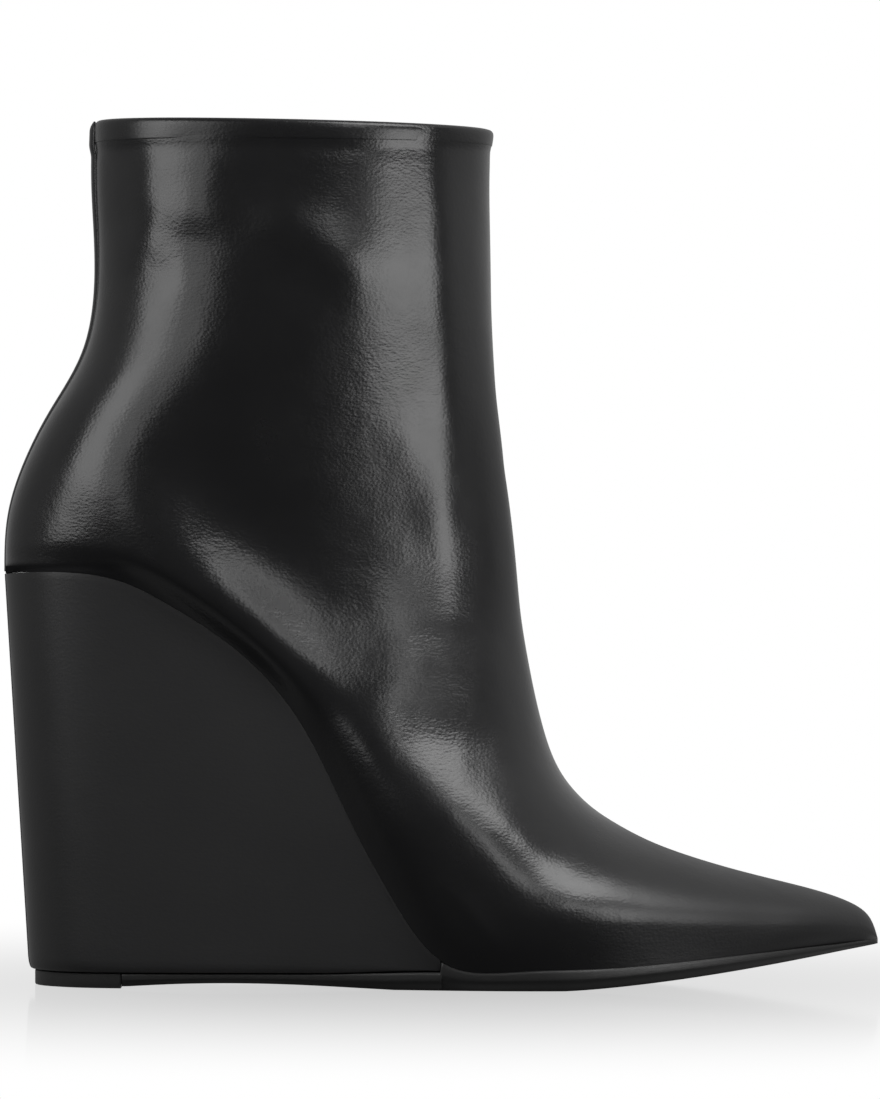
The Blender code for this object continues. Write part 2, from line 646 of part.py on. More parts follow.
def make_insole(material):
    """Sock board inside the upper, bent to the wedge and the outsole."""
    t = section_rows(HEEL_CORNER + 1, SECTION_AT[-1] - 2.5)
    x, half, z = bottom_rim(t, WALL)
    half = half - 3 * GAP
    slope = feather_slope(x)
    length = np.sqrt(1 + slope ** 2)
    top_x = x - INSOLE_THICKNESS * slope / length
    top_z = z + INSOLE_THICKNESS / length
    levels = [np.stack([top_x, half, top_z], axis=-1), np.stack([x, half, z], axis=-1)]
    return stack_solid("insole", levels, material)


for old in list(bpy.data.objects):
    bpy.data.objects.remove(old, do_unlink=True)

black_leather = make_material("black_leather", (0.012, 0.012, 0.013), 0.32)
wedge_leather = make_material("wedge_leather", (0.016, 0.016, 0.017), 0.42)
trim_leather = make_material("trim_leather", (0.012, 0.012, 0.013), 0.30)
sole_rubber = make_material("sole_rubber", (0.014, 0.014, 0.014), 0.45)
heel_rubber = make_material("heel_rubber", (0.012, 0.012, 0.012), 0.55)
lining_leather = make_material("lining_leather", (0.020, 0.019, 0.018), 0.60)

make_upper(black_leather)
make_collar_binding(trim_leather)
make_back_seam(trim_leather)
make_wedge(wedge_leather)
make_outsole(sole_rubber)
make_top_piece(heel_rubber)
make_insole(lining_leather)
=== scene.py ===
"""Looks of the black leather wedge ankle boot: fine surfaces on its solids, leather and studio."""
import bpy
import bmesh
import numpy as np
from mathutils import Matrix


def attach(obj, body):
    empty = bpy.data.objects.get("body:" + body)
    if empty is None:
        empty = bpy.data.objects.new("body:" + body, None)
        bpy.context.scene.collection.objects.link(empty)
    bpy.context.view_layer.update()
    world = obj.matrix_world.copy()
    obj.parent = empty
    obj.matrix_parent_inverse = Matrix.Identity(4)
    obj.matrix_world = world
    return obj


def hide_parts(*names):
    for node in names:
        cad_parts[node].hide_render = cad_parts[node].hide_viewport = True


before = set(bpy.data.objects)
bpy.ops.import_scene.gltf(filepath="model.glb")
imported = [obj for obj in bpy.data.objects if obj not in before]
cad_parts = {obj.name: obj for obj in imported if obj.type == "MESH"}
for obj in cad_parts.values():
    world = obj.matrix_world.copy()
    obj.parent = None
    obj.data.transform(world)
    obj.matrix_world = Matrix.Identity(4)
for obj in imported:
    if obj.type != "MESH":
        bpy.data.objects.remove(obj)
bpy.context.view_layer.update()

MM = 0.001

# Sizes of the boot, in millimetres, as in its solids
BOOT_LENGTH = 232.4
BOOT_HEIGHT = 228.6
HEEL_HEIGHT = 108.6
UPPER_WIDTH = 80.0
SOLE_WIDTH = 75.0
TOE_SPRING = 10.4
TOE_TIP_HEIGHT = 11.7
FEATHER_HEIGHT = 5.2
OUTSOLE_WAIST_TOP = 3.8
OUTSOLE_WAIST_THICKNESS = 2.4
SOLE_EDGE = 0.5
SOLE_BEVEL = 2.2
TOP_PIECE_HEIGHT = 3.9
TOP_PIECE_LENGTH = 25.0
HEEL_RAKE = 6.4
WEDGE_TAPER = 0.97
WEDGE_TUCK = 0.8
WALL = 2.0
INSOLE_THICKNESS = 2.0
BINDING_THICKNESS = 0.7
BINDING_DEPTH = 5.0
SEAM_WIDTH_TOP = 6.4
SEAM_WIDTH_HEEL = 3.6
SEAM_RISE_TOP = 1.5
SEAM_RISE_HEEL = 0.7
GAP = 0.3
CLOSE_GAP = 0.03
HEEL_BACK = -BOOT_LENGTH / 2 + GAP + SEAM_RISE_HEEL
TOE_TIP = BOOT_LENGTH / 2
LAST_LENGTH = TOE_TIP - HEEL_BACK
UPPER_TOP = BOOT_HEIGHT - BINDING_THICKNESS - GAP

# The photograph's frame: its size, the pixel on the view's axis, the floor's row and the scale
PHOTO_WIDTH = 880
PHOTO_HEIGHT = 1099
MIDDLE_COLUMN = 440.5
FLOOR_ROW = 983.5
MM_PER_PIXEL = 0.265
CAMERA_DISTANCE = 2000.0
SENSOR = 36.0

SECTION_COLUMNS = ("zone", "back_x", "back_z", "front_x", "front_z", "half_width", "widest")
SECTIONS = (
    ("shaft", 0.104, 1.000, 0.557, 0.989, 0.825, 0.500),
    ("shaft", 0.103, 0.855, 0.554, 0.931, 0.832, 0.500),
    ("shaft", 0.106, 0.676, 0.555, 0.847, 0.835, 0.490),
    ("shaft", 0.092, 0.498, 0.556, 0.779, 0.827, 0.454),
    ("shaft", 0.051, 0.354, 0.558, 0.726, 0.806, 0.419),
    ("shaft", 0.016, 0.213, 0.561, 0.675, 0.774, 0.394),
    ("shaft", 0.002, 0.102, 0.565, 0.636, 0.744, 0.368),
    ("seat", 0.000, 1.000, 0.569, 0.599, 0.722, 0.343),
    ("seat", 0.008, 1.002, 0.571, 0.578, 0.716, 0.321),
    ("seat", 0.036, 1.005, 0.575, 0.548, 0.712, 0.280),
    ("seat", 0.084, 1.003, 0.580, 0.506, 0.710, 0.215),
    ("seat", 0.141, 0.977, 0.585, 0.453, 0.711, 0.161),
    ("seat", 0.204, 0.904, 0.590, 0.397, 0.719, 0.134),
    ("seat", 0.271, 0.800, 0.598, 0.344, 0.740, 0.143),
    ("seat", 0.328, 0.662, 0.607, 0.296, 0.774, 0.200),
    ("seat", 0.369, 0.502, 0.617, 0.254, 0.820, 0.270),
    ("seat", 0.404, 0.340, 0.628, 0.221, 0.868, 0.325),
    ("seat", 0.439, 0.198, 0.642, 0.195, 0.912, 0.362),
    ("seat", 0.476, 0.072, 0.659, 0.174, 0.948, 0.374),
    ("toe", 0.525, 0.020, 0.679, 0.156, 0.978, 0.370),
    ("toe", 0.598, 0.025, 0.709, 0.136, 1.000, 0.370),
    ("toe", 0.678, 0.110, 0.752, 0.114, 0.965, 0.380),
    ("toe", 0.768, 0.340, 0.813, 0.092, 0.840, 0.380),
    ("toe", 0.842, 0.560, 0.872, 0.075, 0.660, 0.380),
    ("toe", 0.907, 0.745, 0.927, 0.060, 0.470, 0.390),
    ("toe", 0.956, 0.875, 0.967, 0.045, 0.270, 0.400),
    ("toe", 0.984, 0.955, 0.990, 0.027, 0.115, 0.420),
    ("toe", 1.000, 1.000, 1.000, 0.000, 0.000, 0.450),
)
HEEL_CORNER = 7
SHANK_END = 18.5
TOE_ROUNDING_START = 23.0

# Outline of the sole at the feather line, by share of the length. half_width and the sideways bend
# of the last are shares of half the sole's width, and the bend is positive towards the inner side.
# Above the feather line the upper rolls out: roll is its share of the outline's half width, and
# roll_height is a share of half the upper's width.
OUTLINE_COLUMNS = ("along", "half_width", "bend", "roll", "roll_height")
OUTLINE = (
    (0.00, 0.000, 0.000, 0.010, 0.22),
    (0.03, 0.443, 0.000, 0.025, 0.22),
    (0.06, 0.581, 0.000, 0.042, 0.22),
    (0.10, 0.651, -0.002, 0.078, 0.22),
    (0.16, 0.672, -0.010, 0.122, 0.23),
    (0.25, 0.667, -0.032, 0.138, 0.28),
    (0.34, 0.680, -0.058, 0.160, 0.37),
    (0.42, 0.747, -0.075, 0.160, 0.46),
    (0.49, 0.840, -0.072, 0.128, 0.48),
    (0.55, 0.928, -0.050, 0.093, 0.44),
    (0.61, 0.987, -0.018, 0.072, 0.39),
    (0.65, 1.000, 0.008, 0.064, 0.36),
    (0.71, 0.965, 0.045, 0.060, 0.31),
    (0.77, 0.875, 0.078, 0.062, 0.26),
    (0.83, 0.720, 0.105, 0.068, 0.20),
    (0.89, 0.512, 0.128, 0.078, 0.14),
    (0.94, 0.302, 0.143, 0.090, 0.10),
    (0.98, 0.135, 0.152, 0.100, 0.07),
    (1.00, 0.000, 0.155, 0.100, 0.06),
)

# Underside of the outsole: share of the length and share of the waist's clearance over the floor.
ARCH = ((0.143, 0.40), (0.20, 0.85), (0.26, 1.00), (0.33, 0.80), (0.40, 0.32), (0.445, 0.00))
FOREFOOT_FLAT_END = 0.636
TOE_SPRING_CURVE = 1.35


# Sections between which the heel's corner is evened out, and the coarse grid that it is evened from
EVEN_START = 3.0
EVEN_END = 13.0
EVEN_REACH = 6.0
EVEN_ROWS_PER_SECTION = 2
EVEN_LOW_STEPS = 7
EVEN_HIGH_STEPS = 10
POWER = 2.2

# Steps of the fine grids, for each section and over each half of a section
LOW_STEPS = 30
HIGH_STEPS = 42


def column(table, names, name):
    """One named column of a table, as an array."""
    return np.array([row[names.index(name)] for row in table], dtype=float)


def spline(knots, values, at):
    """Natural cubic spline through the knots: slopes of slopes are solved once, then evaluated."""
    knots = np.asarray(knots, float)
    values = np.asarray(values, float)
    count = len(knots)
    step = np.diff(knots)
    matrix = np.eye(count)
    right = np.zeros(count)
    inner = np.arange(1, count - 1)
    matrix[inner, inner - 1] = step[:-1]
    matrix[inner, inner] = 2 * (step[:-1] + step[1:])
    matrix[inner, inner + 1] = step[1:]
    right[inner] = 6 * np.diff(np.diff(values) / step)
    bend = np.linalg.solve(matrix, right)
    at = np.asarray(at, float)
    k = np.clip(np.searchsorted(knots, at, side="right") - 1, 0, count - 2)
    ahead = knots[k + 1] - at
    behind = at - knots[k]
    curve = (bend[k] * ahead ** 3 + bend[k + 1] * behind ** 3) / (6 * step[k])
    line = (values[k] / step[k] - bend[k] * step[k] / 6) * ahead
    return curve + line + (values[k + 1] / step[k] - bend[k + 1] * step[k] / 6) * behind


def smooth(value, start, end):
    """Soft step from 0 at start to 1 at end."""
    u = np.clip((value - start) / (end - start), 0, 1)
    return u * u * (3 - 2 * u)


def back_height(zone, share):
    """Height in millimetres that a share of the back or bottom line stands for."""
    if zone == "shaft":
        return HEEL_HEIGHT + share * (UPPER_TOP - HEEL_HEIGHT)
    if zone == "seat":
        return FEATHER_HEIGHT + share * (HEEL_HEIGHT - FEATHER_HEIGHT)
    return FEATHER_HEIGHT + share * (TOE_TIP_HEIGHT - FEATHER_HEIGHT)


SECTION_AT = np.arange(len(SECTIONS), dtype=float)
LAST_SECTION = SECTION_AT[-1]
BACK_X = HEEL_BACK + LAST_LENGTH * column(SECTIONS, SECTION_COLUMNS, "back_x")
BACK_Z = np.array([back_height(row[0], row[2]) for row in SECTIONS])
FRONT_X = HEEL_BACK + LAST_LENGTH * column(SECTIONS, SECTION_COLUMNS, "front_x")
FRONT_Z = TOE_TIP_HEIGHT + (UPPER_TOP - TOE_TIP_HEIGHT) * column(SECTIONS, SECTION_COLUMNS, "front_z")
HALF_WIDTH = UPPER_WIDTH / 2 * column(SECTIONS, SECTION_COLUMNS, "half_width")
WIDEST = column(SECTIONS, SECTION_COLUMNS, "widest")
OUTLINE_X = HEEL_BACK + LAST_LENGTH * column(OUTLINE, OUTLINE_COLUMNS, "along")
OUTLINE_SQUARE = (SOLE_WIDTH / 2 * column(OUTLINE, OUTLINE_COLUMNS, "half_width")) ** 2
BEND = SOLE_WIDTH / 2 * column(OUTLINE, OUTLINE_COLUMNS, "bend")
ROLL = column(OUTLINE, OUTLINE_COLUMNS, "roll")
ROLL_HEIGHT = UPPER_WIDTH / 2 * column(OUTLINE, OUTLINE_COLUMNS, "roll_height")
HEEL_HALF_WIDTH = float(np.sqrt(OUTLINE_SQUARE[4]))


def along_outline(values, x):
    """Value of one of the outline's columns at x."""
    return spline(OUTLINE_X, values, np.clip(x, OUTLINE_X[0], OUTLINE_X[-1]))


def outline(x):
    """Half width of the sole at x. The square of it is splined, so both ends close round."""
    return np.sqrt(np.clip(along_outline(OUTLINE_SQUARE, x), 0, None))


def bent(points):
    """Shifts points sideways by the bend of the last, which fades out up the shaft."""
    low = HEEL_HEIGHT * 0.35
    fade = 1 - smooth(points[..., 2], low, low + HEEL_HEIGHT * 0.6)
    shifted = points.copy()
    shifted[..., 1] += fade * along_outline(BEND, points[..., 0])
    return shifted


def back_line(t):
    """Back and bottom line of the foot in the XZ plane, with its corner where the seat begins."""
    up = slice(0, HEEL_CORNER + 1)
    down = slice(HEEL_CORNER, None)
    lines = []
    for values in (BACK_X, BACK_Z):
        back = spline(SECTION_AT[up], values[up], np.minimum(t, HEEL_CORNER))
        sole = spline(SECTION_AT[down], values[down], np.maximum(t, HEEL_CORNER))
        lines.append(np.where(np.asarray(t) < HEEL_CORNER, back, sole))
    return lines[0], lines[1]


def front_line(t):
    """Front line of the shaft and ridge of the vamp in the XZ plane."""
    return spline(SECTION_AT, FRONT_X, t), spline(SECTION_AT, FRONT_Z, t)


SOLE_LINE = back_line(np.linspace(HEEL_CORNER, LAST_SECTION, 400))


def feather_height(x):
    """Height of the bottom line at x, from the heel corner to the toe tip."""
    return np.interp(x, *SOLE_LINE)


def feather_slope(x):
    """Rise of the bottom line at x for each millimetre forward."""
    reach = 0.5
    return (feather_height(x + reach) - feather_height(x - reach)) / (2 * reach)


def nearest_on_sole_line(points):
    """Place along X and distance of the nearest point of the bottom line, seen from the side.

    The nearest sample is found first, then the dip of a parabola through it and its neighbours.
    """
    line_x, line_z = SOLE_LINE
    away = (points[..., 0, None] - line_x) ** 2 + (points[..., 2, None] - line_z) ** 2
    k = np.clip(away.argmin(axis=-1), 1, len(line_x) - 2)
    before, here, after = (np.take_along_axis(away, k[..., None] + step, -1)[..., 0] for step in (-1, 0, 1))
    dip = np.clip(0.5 * (before - after) / np.maximum(before - 2 * here + after, 1e-9), -1, 1)
    index = np.arange(len(line_x))
    near_x = np.interp(k + dip, index, line_x)
    near_z = np.interp(k + dip, index, line_z)
    return near_x, np.hypot(points[..., 0] - near_x, points[..., 2] - near_z)


def rolled(points):
    """Draws points in towards the feather line, from nothing at the roll's height to the outline.

    The draw falls with the square of the distance to the feather line, seen from the side.
    """
    nearest, away = nearest_on_sole_line(points)
    roll = along_outline(ROLL, nearest)
    draw = roll / (1 + roll) * np.clip(1 - away / along_outline(ROLL_HEIGHT, nearest), 0, 1) ** 2
    drawn = points.copy()
    drawn[..., 1] *= 1 - draw
    return drawn


def inward(line, t, turn):
    """Unit normal of a profile line, turned to the side that turn gives."""
    reach = 0.05
    ax, az = line(np.clip(t - reach, 0, LAST_SECTION))
    bx, bz = line(np.clip(t + reach, 0, LAST_SECTION))
    length = np.hypot(bx - ax, bz - az)
    return -turn * (bz - az) / length, turn * (bx - ax) / length


def section_ends(t, inset):
    """Ends of each section plane, moved in by the inset but kept on the bottom line where it opens."""
    bx, bz = back_line(t)
    nx, nz = inward(back_line, t, 1)
    level = smooth(t, HEEL_CORNER - 2, HEEL_CORNER)
    nx = nx + (1 - nx) * level
    nz = nz * (1 - level)
    toe = smooth(t, TOE_ROUNDING_START, LAST_SECTION)
    slide = inset * (1 - smooth(t, HEEL_CORNER, HEEL_CORNER + 5)) - inset * toe
    open_x = bx + slide
    back_x = np.where(t < HEEL_CORNER, bx + inset * nx, open_x)
    back_z = np.where(t < HEEL_CORNER, bz + inset * nz, feather_height(open_x))
    fx, fz = front_line(t)
    mx, mz = inward(front_line, t, -1)
    mx = mx + (-1 - mx) * toe
    mz = mz * (1 - toe)
    last = t >= LAST_SECTION
    front_x = np.where(last, back_x, fx + inset * mx)
    front_z = np.where(last, back_z, fz + inset * mz)
    return back_x, back_z, front_x, front_z


def bottom_rim(t, inset):
    """Place, half width and height of the upper's bottom edge, on its outer or inner skin."""
    x, z, _, _ = section_ends(t, inset)
    return x, outline(back_line(t)[0]) * (1 - inset / HEEL_HALF_WIDTH), z


def plain_section(t, low, high, inset):
    """Half of each section: a superellipse up to the widest point, then a quarter ellipse.

    The superellipse starts at the foot's half width over the sole, or at zero where the section
    closes at the back, and the ellipse runs down to zero at the front line.
    """
    t = np.asarray(t, float)[:, None]
    bx, bz, fx, fz = section_ends(t, inset)
    width = spline(SECTION_AT, HALF_WIDTH, t)
    width = np.clip(width - inset * np.clip(width / 12.0, 0, 1), 0, None)
    widest = spline(SECTION_AT, WIDEST, t)
    foot = bottom_rim(t, inset)[1] * (1 + along_outline(ROLL, back_line(t)[0]))
    tuck = np.where(t > HEEL_CORNER, foot, 0) / np.maximum(width, 1e-6)
    turn_low = np.linspace(0, np.pi / 2, low + 1)[None, :]
    reach = np.cos(turn_low) ** (2 / POWER)
    low_y = width * (1 - (1 - tuck ** POWER) * reach ** POWER) ** (1 / POWER)
    low_share = widest * (1 - reach)
    turn_high = np.linspace(0, np.pi / 2, high + 1)[None, 1:]
    high_y = width * np.cos(turn_high)
    high_y[:, -1] = 0
    high_share = widest + (1 - widest) * np.sin(turn_high)
    share = np.concatenate([low_share + 0 * t, high_share + 0 * t], axis=1)
    y = np.concatenate([low_y, high_y], axis=1)
    return np.stack([bx + (fx - bx) * share, y, bz + (fz - bz) * share], axis=-1)


def evened(points, t, inset):
    """Evens out the width over the heel's corner, where the section planes turn quickly.

    The square of the width is replaced by a plane fitted to it around each point, with weights that
    fall with distance as a bell curve. The change fades out away from the corner and the edges.
    """
    near = smooth(t, EVEN_START, HEEL_CORNER - 1) * (1 - smooth(t, HEEL_CORNER + 2, EVEN_END))
    touched = near > 0
    if not touched.any():
        return points
    rows = np.linspace(EVEN_START, EVEN_END, int((EVEN_END - EVEN_START) * EVEN_ROWS_PER_SECTION) + 1)
    source = plain_section(rows, EVEN_LOW_STEPS, EVEN_HIGH_STEPS, inset)
    along = np.hypot(*np.moveaxis(np.gradient(source[..., ::2], axis=0), -1, 0))
    across = np.hypot(*np.moveaxis(np.gradient(source[..., ::2], axis=1), -1, 0))
    area = (along * across).ravel()
    source = source.reshape(-1, 3)
    part = points[touched]
    flat = part.reshape(-1, 3)
    dx = source[None, :, 0] - flat[:, None, 0]
    dz = source[None, :, 2] - flat[:, None, 2]
    weight = area * np.exp(-(dx ** 2 + dz ** 2) / (2 * EVEN_REACH ** 2))
    terms = (np.ones_like(dx), dx, dz)
    square = source[:, 1] ** 2
    normal = np.stack([np.stack([(weight * a * b).sum(axis=1) for b in terms], -1) for a in terms], -2)
    right = np.stack([(weight * a) @ square for a in terms], -1)
    fitted = np.linalg.solve(normal + 1e-9 * np.eye(3), right[..., None])[:, 0, 0].reshape(part.shape[:2])
    from_back = np.hypot(part[..., 0] - part[:, :1, 0], part[..., 2] - part[:, :1, 2])
    strength = near[touched][:, None] * smooth(from_back, 1, 10)
    plain = part[..., 1] ** 2
    width = np.sqrt(np.clip(plain + (fitted - plain) * strength, 0, None))
    width[:, -1] = 0
    result = points.copy()
    result[touched, :, 1] = width
    return result


def whole_section(t, low, high, inset=0.0):
    """Both halves of each section, from the inner side's bottom over the front to the outer side's."""
    t = np.asarray(t, float)
    inner = rolled(evened(plain_section(t, low, high, inset), t, inset))
    outer = inner[:, ::-1][:, 1:] * np.array([1, -1, 1])
    return bent(np.concatenate([inner, outer], axis=1))


def grid_faces(rows, columns, closed=False):
    """Quads over a grid of points stored row by row. A closed grid joins its last column to its first."""
    i, j = np.meshgrid(np.arange(rows - 1), np.arange(columns if closed else columns - 1), indexing="ij")
    k = (j + 1) % columns
    quads = np.stack([i * columns + j, i * columns + k, (i + 1) * columns + k, (i + 1) * columns + j], -1)
    return quads.reshape(-1, 4)


def make_piece(name, points, faces, material, replaced, sharp=180.0):
    """Mesh object from points in millimetres and a list of face arrays.

    Doubles are merged, flat faces of no area go, and all faces are turned outwards.
    """
    mesh = bpy.data.meshes.new(name)
    mesh.from_pydata((np.asarray(points).reshape(-1, 3) * MM).tolist(), [], [tuple(face) for face in faces])
    work = bmesh.new()
    work.from_mesh(mesh)
    bmesh.ops.remove_doubles(work, verts=work.verts, dist=0.000004)
    bmesh.ops.dissolve_degenerate(work, edges=work.edges, dist=0.000001)
    bmesh.ops.recalc_face_normals(work, faces=work.faces)
    work.to_mesh(mesh)
    work.free()
    mesh.shade_smooth()
    if sharp < 180.0:
        mesh.set_sharp_from_angle(angle=np.radians(sharp))
    mesh.materials.append(material)
    piece = bpy.data.objects.new(name, mesh)
    bpy.context.scene.collection.objects.link(piece)
    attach(piece, "root")
    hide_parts(*replaced)
    return piece


def grid_normals(grid):
    """Unit normals of a grid of points: the cross product of its slopes along rows and columns."""
    along = np.gradient(grid, axis=0)
    across = np.gradient(grid, axis=1)
    normal = np.cross(across, along)
    length = np.linalg.norm(normal, axis=-1, keepdims=True)
    return normal / np.maximum(length, 1e-9)


def even_rows(start, end, count):
    """Places of rows between two sections, evenly spread over the length of the back and front lines."""
    t = np.linspace(start, end, 600)
    length = sum(np.hypot(np.gradient(line(t)[0]), np.gradient(line(t)[1])) for line in (back_line, front_line))
    travelled = np.concatenate([[0], np.cumsum((length[1:] + length[:-1]) / 2)])
    return np.interp(np.linspace(0, travelled[-1], count), travelled, t)


SHAFT_ROWS = even_rows(0, HEEL_CORNER, 120)
FOOT_ROWS = even_rows(HEEL_CORNER, LAST_SECTION, 210)
UPPER_ROWS = np.concatenate([SHAFT_ROWS, FOOT_ROWS[1:]])


def place(along, height):
    """Point in the XZ plane from shares of the last's length and of the boot's height."""
    return np.array([HEEL_BACK + along * LAST_LENGTH, height * BOOT_HEIGHT])


def curve_distance(points, ends):
    """Distance from each point, seen from the side, to a soft curve through three places.

    The curve is the parabola a (1-s)^2 + 2 b s (1-s) + c s^2. The nearest of its samples is found
    first, then the distance to the tangent there. It also gives s, between 0 and 1, at the foot.
    """
    a, middle, c = (place(*end) for end in ends)
    b = 2 * middle - (a + c) / 2
    s = np.linspace(0, 1, 60)[:, None]
    line = a * (1 - s) ** 2 + 2 * b * s * (1 - s) + c * s ** 2
    away = (points[..., 0, None] - line[:, 0]) ** 2 + (points[..., 2, None] - line[:, 1]) ** 2
    k = away.argmin(axis=-1)
    run = np.gradient(line, axis=0)[k]
    step = np.linalg.norm(run, axis=-1)
    offset = points[..., ::2] - line[k]
    ahead = (offset * run).sum(axis=-1) / step
    aside = (offset[..., 0] * run[..., 1] - offset[..., 1] * run[..., 0]) / step
    return np.abs(aside), np.clip((k + ahead / step) / (len(s) - 1), 0, 1)


# Creases and swells of the leather on the outer side: three places as shares of the last's length and
# of the boot's height, then the height in millimetres, which is negative in a trough, and the width.
CREASE_COLUMNS = ("start", "middle", "end", "rise", "width")
CREASES = (
    ((0.129, 1.001), (0.129, 0.914), (0.138, 0.821), -1.20, 7.0),
    ((0.230, 0.989), (0.230, 0.914), (0.220, 0.850), 0.75, 9.0),
    ((0.090, 0.816), (0.148, 0.819), (0.217, 0.811), -0.60, 6.5),
    ((0.271, 0.902), (0.354, 0.856), (0.442, 0.792), 1.00, 7.0),
    ((0.064, 0.653), (0.240, 0.448), (0.377, 0.296), 2.60, 12.0),
    ((0.385, 0.343), (0.521, 0.195), (0.701, 0.055), 1.55, 11.5),
    ((0.182, 0.642), (0.308, 0.491), (0.434, 0.329), -0.95, 12.0),
    ((0.394, 0.447), (0.480, 0.442), (0.566, 0.445), 0.30, 7.0),
    ((0.406, 0.381), (0.509, 0.378), (0.600, 0.366), 0.80, 10.0),
    ((0.417, 0.292), (0.509, 0.283), (0.606, 0.271), -1.00, 12.0),
    ((0.440, 0.676), (0.480, 0.584), (0.497, 0.491), 0.50, 6.0),
    ((0.479, 1.071), (0.504, 0.700), (0.493, 0.259), 0.65, 5.0),
    ((0.492, 0.132), (0.532, 0.091), (0.577, 0.025), 0.22, 2.2),
)


def creased(grid):
    """Outer skin with its creases: each adds rise times a bell over its width, and fades at its ends.

    The skin also swells over the roll above the feather line, and under the collar's fold. Below the
    fold it dips into the fold's groove.
    """
    normal = grid_normals(grid)
    outer_side = smooth(-grid[..., 1], 2, 14)
    height = np.zeros(grid.shape[:2])
    for start, middle, end, rise, width in CREASES:
        away, s = curve_distance(grid, (start, middle, end))
        ends = smooth(s, 0, CREASE_FADE) * (1 - smooth(s, 1 - CREASE_FADE, 1))
        height += rise * np.exp(-(away / width) ** 2) * ends
    height *= 0.25 + 0.75 * outer_side
    near, away = nearest_on_sole_line(grid)
    share = (near - HEEL_BACK) / LAST_LENGTH
    below = np.where(away < ROLL_AT, ROLL_AT / 2, ROLL_WIDTH)
    roll = ROLL_SWELL * np.exp(-((away - ROLL_AT) / below) ** 2) * (1 - smooth(share, 0.3, 0.6))
    height += roll * smooth(np.abs(grid[..., 1]), 1, 9)
    depth = UPPER_TOP - grid[..., 2]
    height += COLLAR_SWELL * (1 - smooth(depth, BINDING_DEPTH - 0.3, COLLAR_GROOVE_AT))
    height -= COLLAR_GROOVE * np.exp(-((depth - COLLAR_GROOVE_AT) / COLLAR_GROOVE_WIDTH) ** 2)
    height *= smooth(away, 0, ROLL_AT)
    return grid + normal * height[..., None]


LEATHER = 1.6
CREASE_FADE = 0.35
WEDGE_ROUND = 0.15
ROLL_AT = 7.5
ROLL_WIDTH = 8.0
ROLL_SWELL = 0.25
FOLD_OUT = 0.40
COLLAR_SWELL = 0.26
COLLAR_GROOVE = 0.12
COLLAR_GROOVE_AT = 7.6
COLLAR_GROOVE_WIDTH = 2.6


def shell(name, near, far, material, shape=None):
    """Closed shell between two insets of the upper: two skins of section rows, and the strips that
    join them round the collar and along the feather line."""
    outer = whole_section(UPPER_ROWS, LOW_STEPS, HIGH_STEPS, near)
    inner = whole_section(UPPER_ROWS, LOW_STEPS, HIGH_STEPS, far)
    rows, columns = outer.shape[:2]
    for skin in (outer, inner):
        skin[-1, :] = skin[-1, 0]
    if shape:
        outer = shape(outer)
    size = rows * columns
    skins = grid_faces(rows, columns)
    j = np.arange(columns - 1)
    collar = np.stack([j + 1, j, size + j, size + j + 1], axis=-1)
    i = np.arange(len(SHAFT_ROWS) - 1, rows - 1) * columns
    first = np.stack([i, i + columns, size + i + columns, size + i], axis=-1)
    last = first[:, ::-1] + columns - 1
    faces = np.concatenate([skins, skins[:, ::-1] + size, collar, first, last])
    return make_piece(name, np.concatenate([outer.reshape(-1, 3), inner.reshape(-1, 3)]), faces,
                      material, ["upper"], sharp=50)


def collar_ring(t, inset):
    """Closed ring of the shaft at one section, with its unit normals in the level plane."""
    ring = whole_section([t], LOW_STEPS, HIGH_STEPS, inset)[0][:-1]
    ahead = np.roll(ring, -1, axis=0) - np.roll(ring, 1, axis=0)
    normal = np.stack([ahead[:, 1], -ahead[:, 0], np.zeros(len(ring))], axis=1)
    normal /= np.linalg.norm(normal, axis=1)[:, None]
    facing = np.sign(((ring - ring.mean(axis=0)) * normal).sum(axis=1))
    return ring, normal * facing[:, None]


# Section of the folded band at the collar: distance out from the skin that it lies on, height from
# the top edge, and 1 where it lies on the outer skin or 0 where it lies on the inner one.
FOLD = (
    (0.02, -4.80, 1), (0.16, -5.20, 1), (0.27, -4.7, 1), (0.35, -3.6, 1), (0.40, -2.4, 1), (0.42, -1.4, 1),
    (0.38, -0.6, 1), (0.22, 0.10, 1), (-0.10, 0.55, 1), (-0.55, 0.80, 1), (-1.00, 0.86, 1), (-0.42, 0.80, 0),
    (0.20, 0.50, 0), (0.62, 0.05, 0), (0.88, -0.6, 0), (0.97, -1.6, 0), (0.92, -3.4, 0), (0.80, -4.7, 0),
    (0.55, -5.0, 0), (0.40, -4.6, 0), (0.35, -2.0, 0), (0.20, -0.4, 0), (-0.20, -0.4, 1), (-0.10, -1.6, 1),
    (-0.06, -3.4, 1),
)


def closed_spline(values, steps):
    """Smooth closed curve through values, from a spline that runs once too far at both ends."""
    values = np.asarray(values, float)
    wrap = 4
    around = np.concatenate([values[-wrap:], values, values[:wrap + 1]])
    return spline(np.arange(len(around)) - wrap, around, np.linspace(0, len(values), steps, endpoint=False))


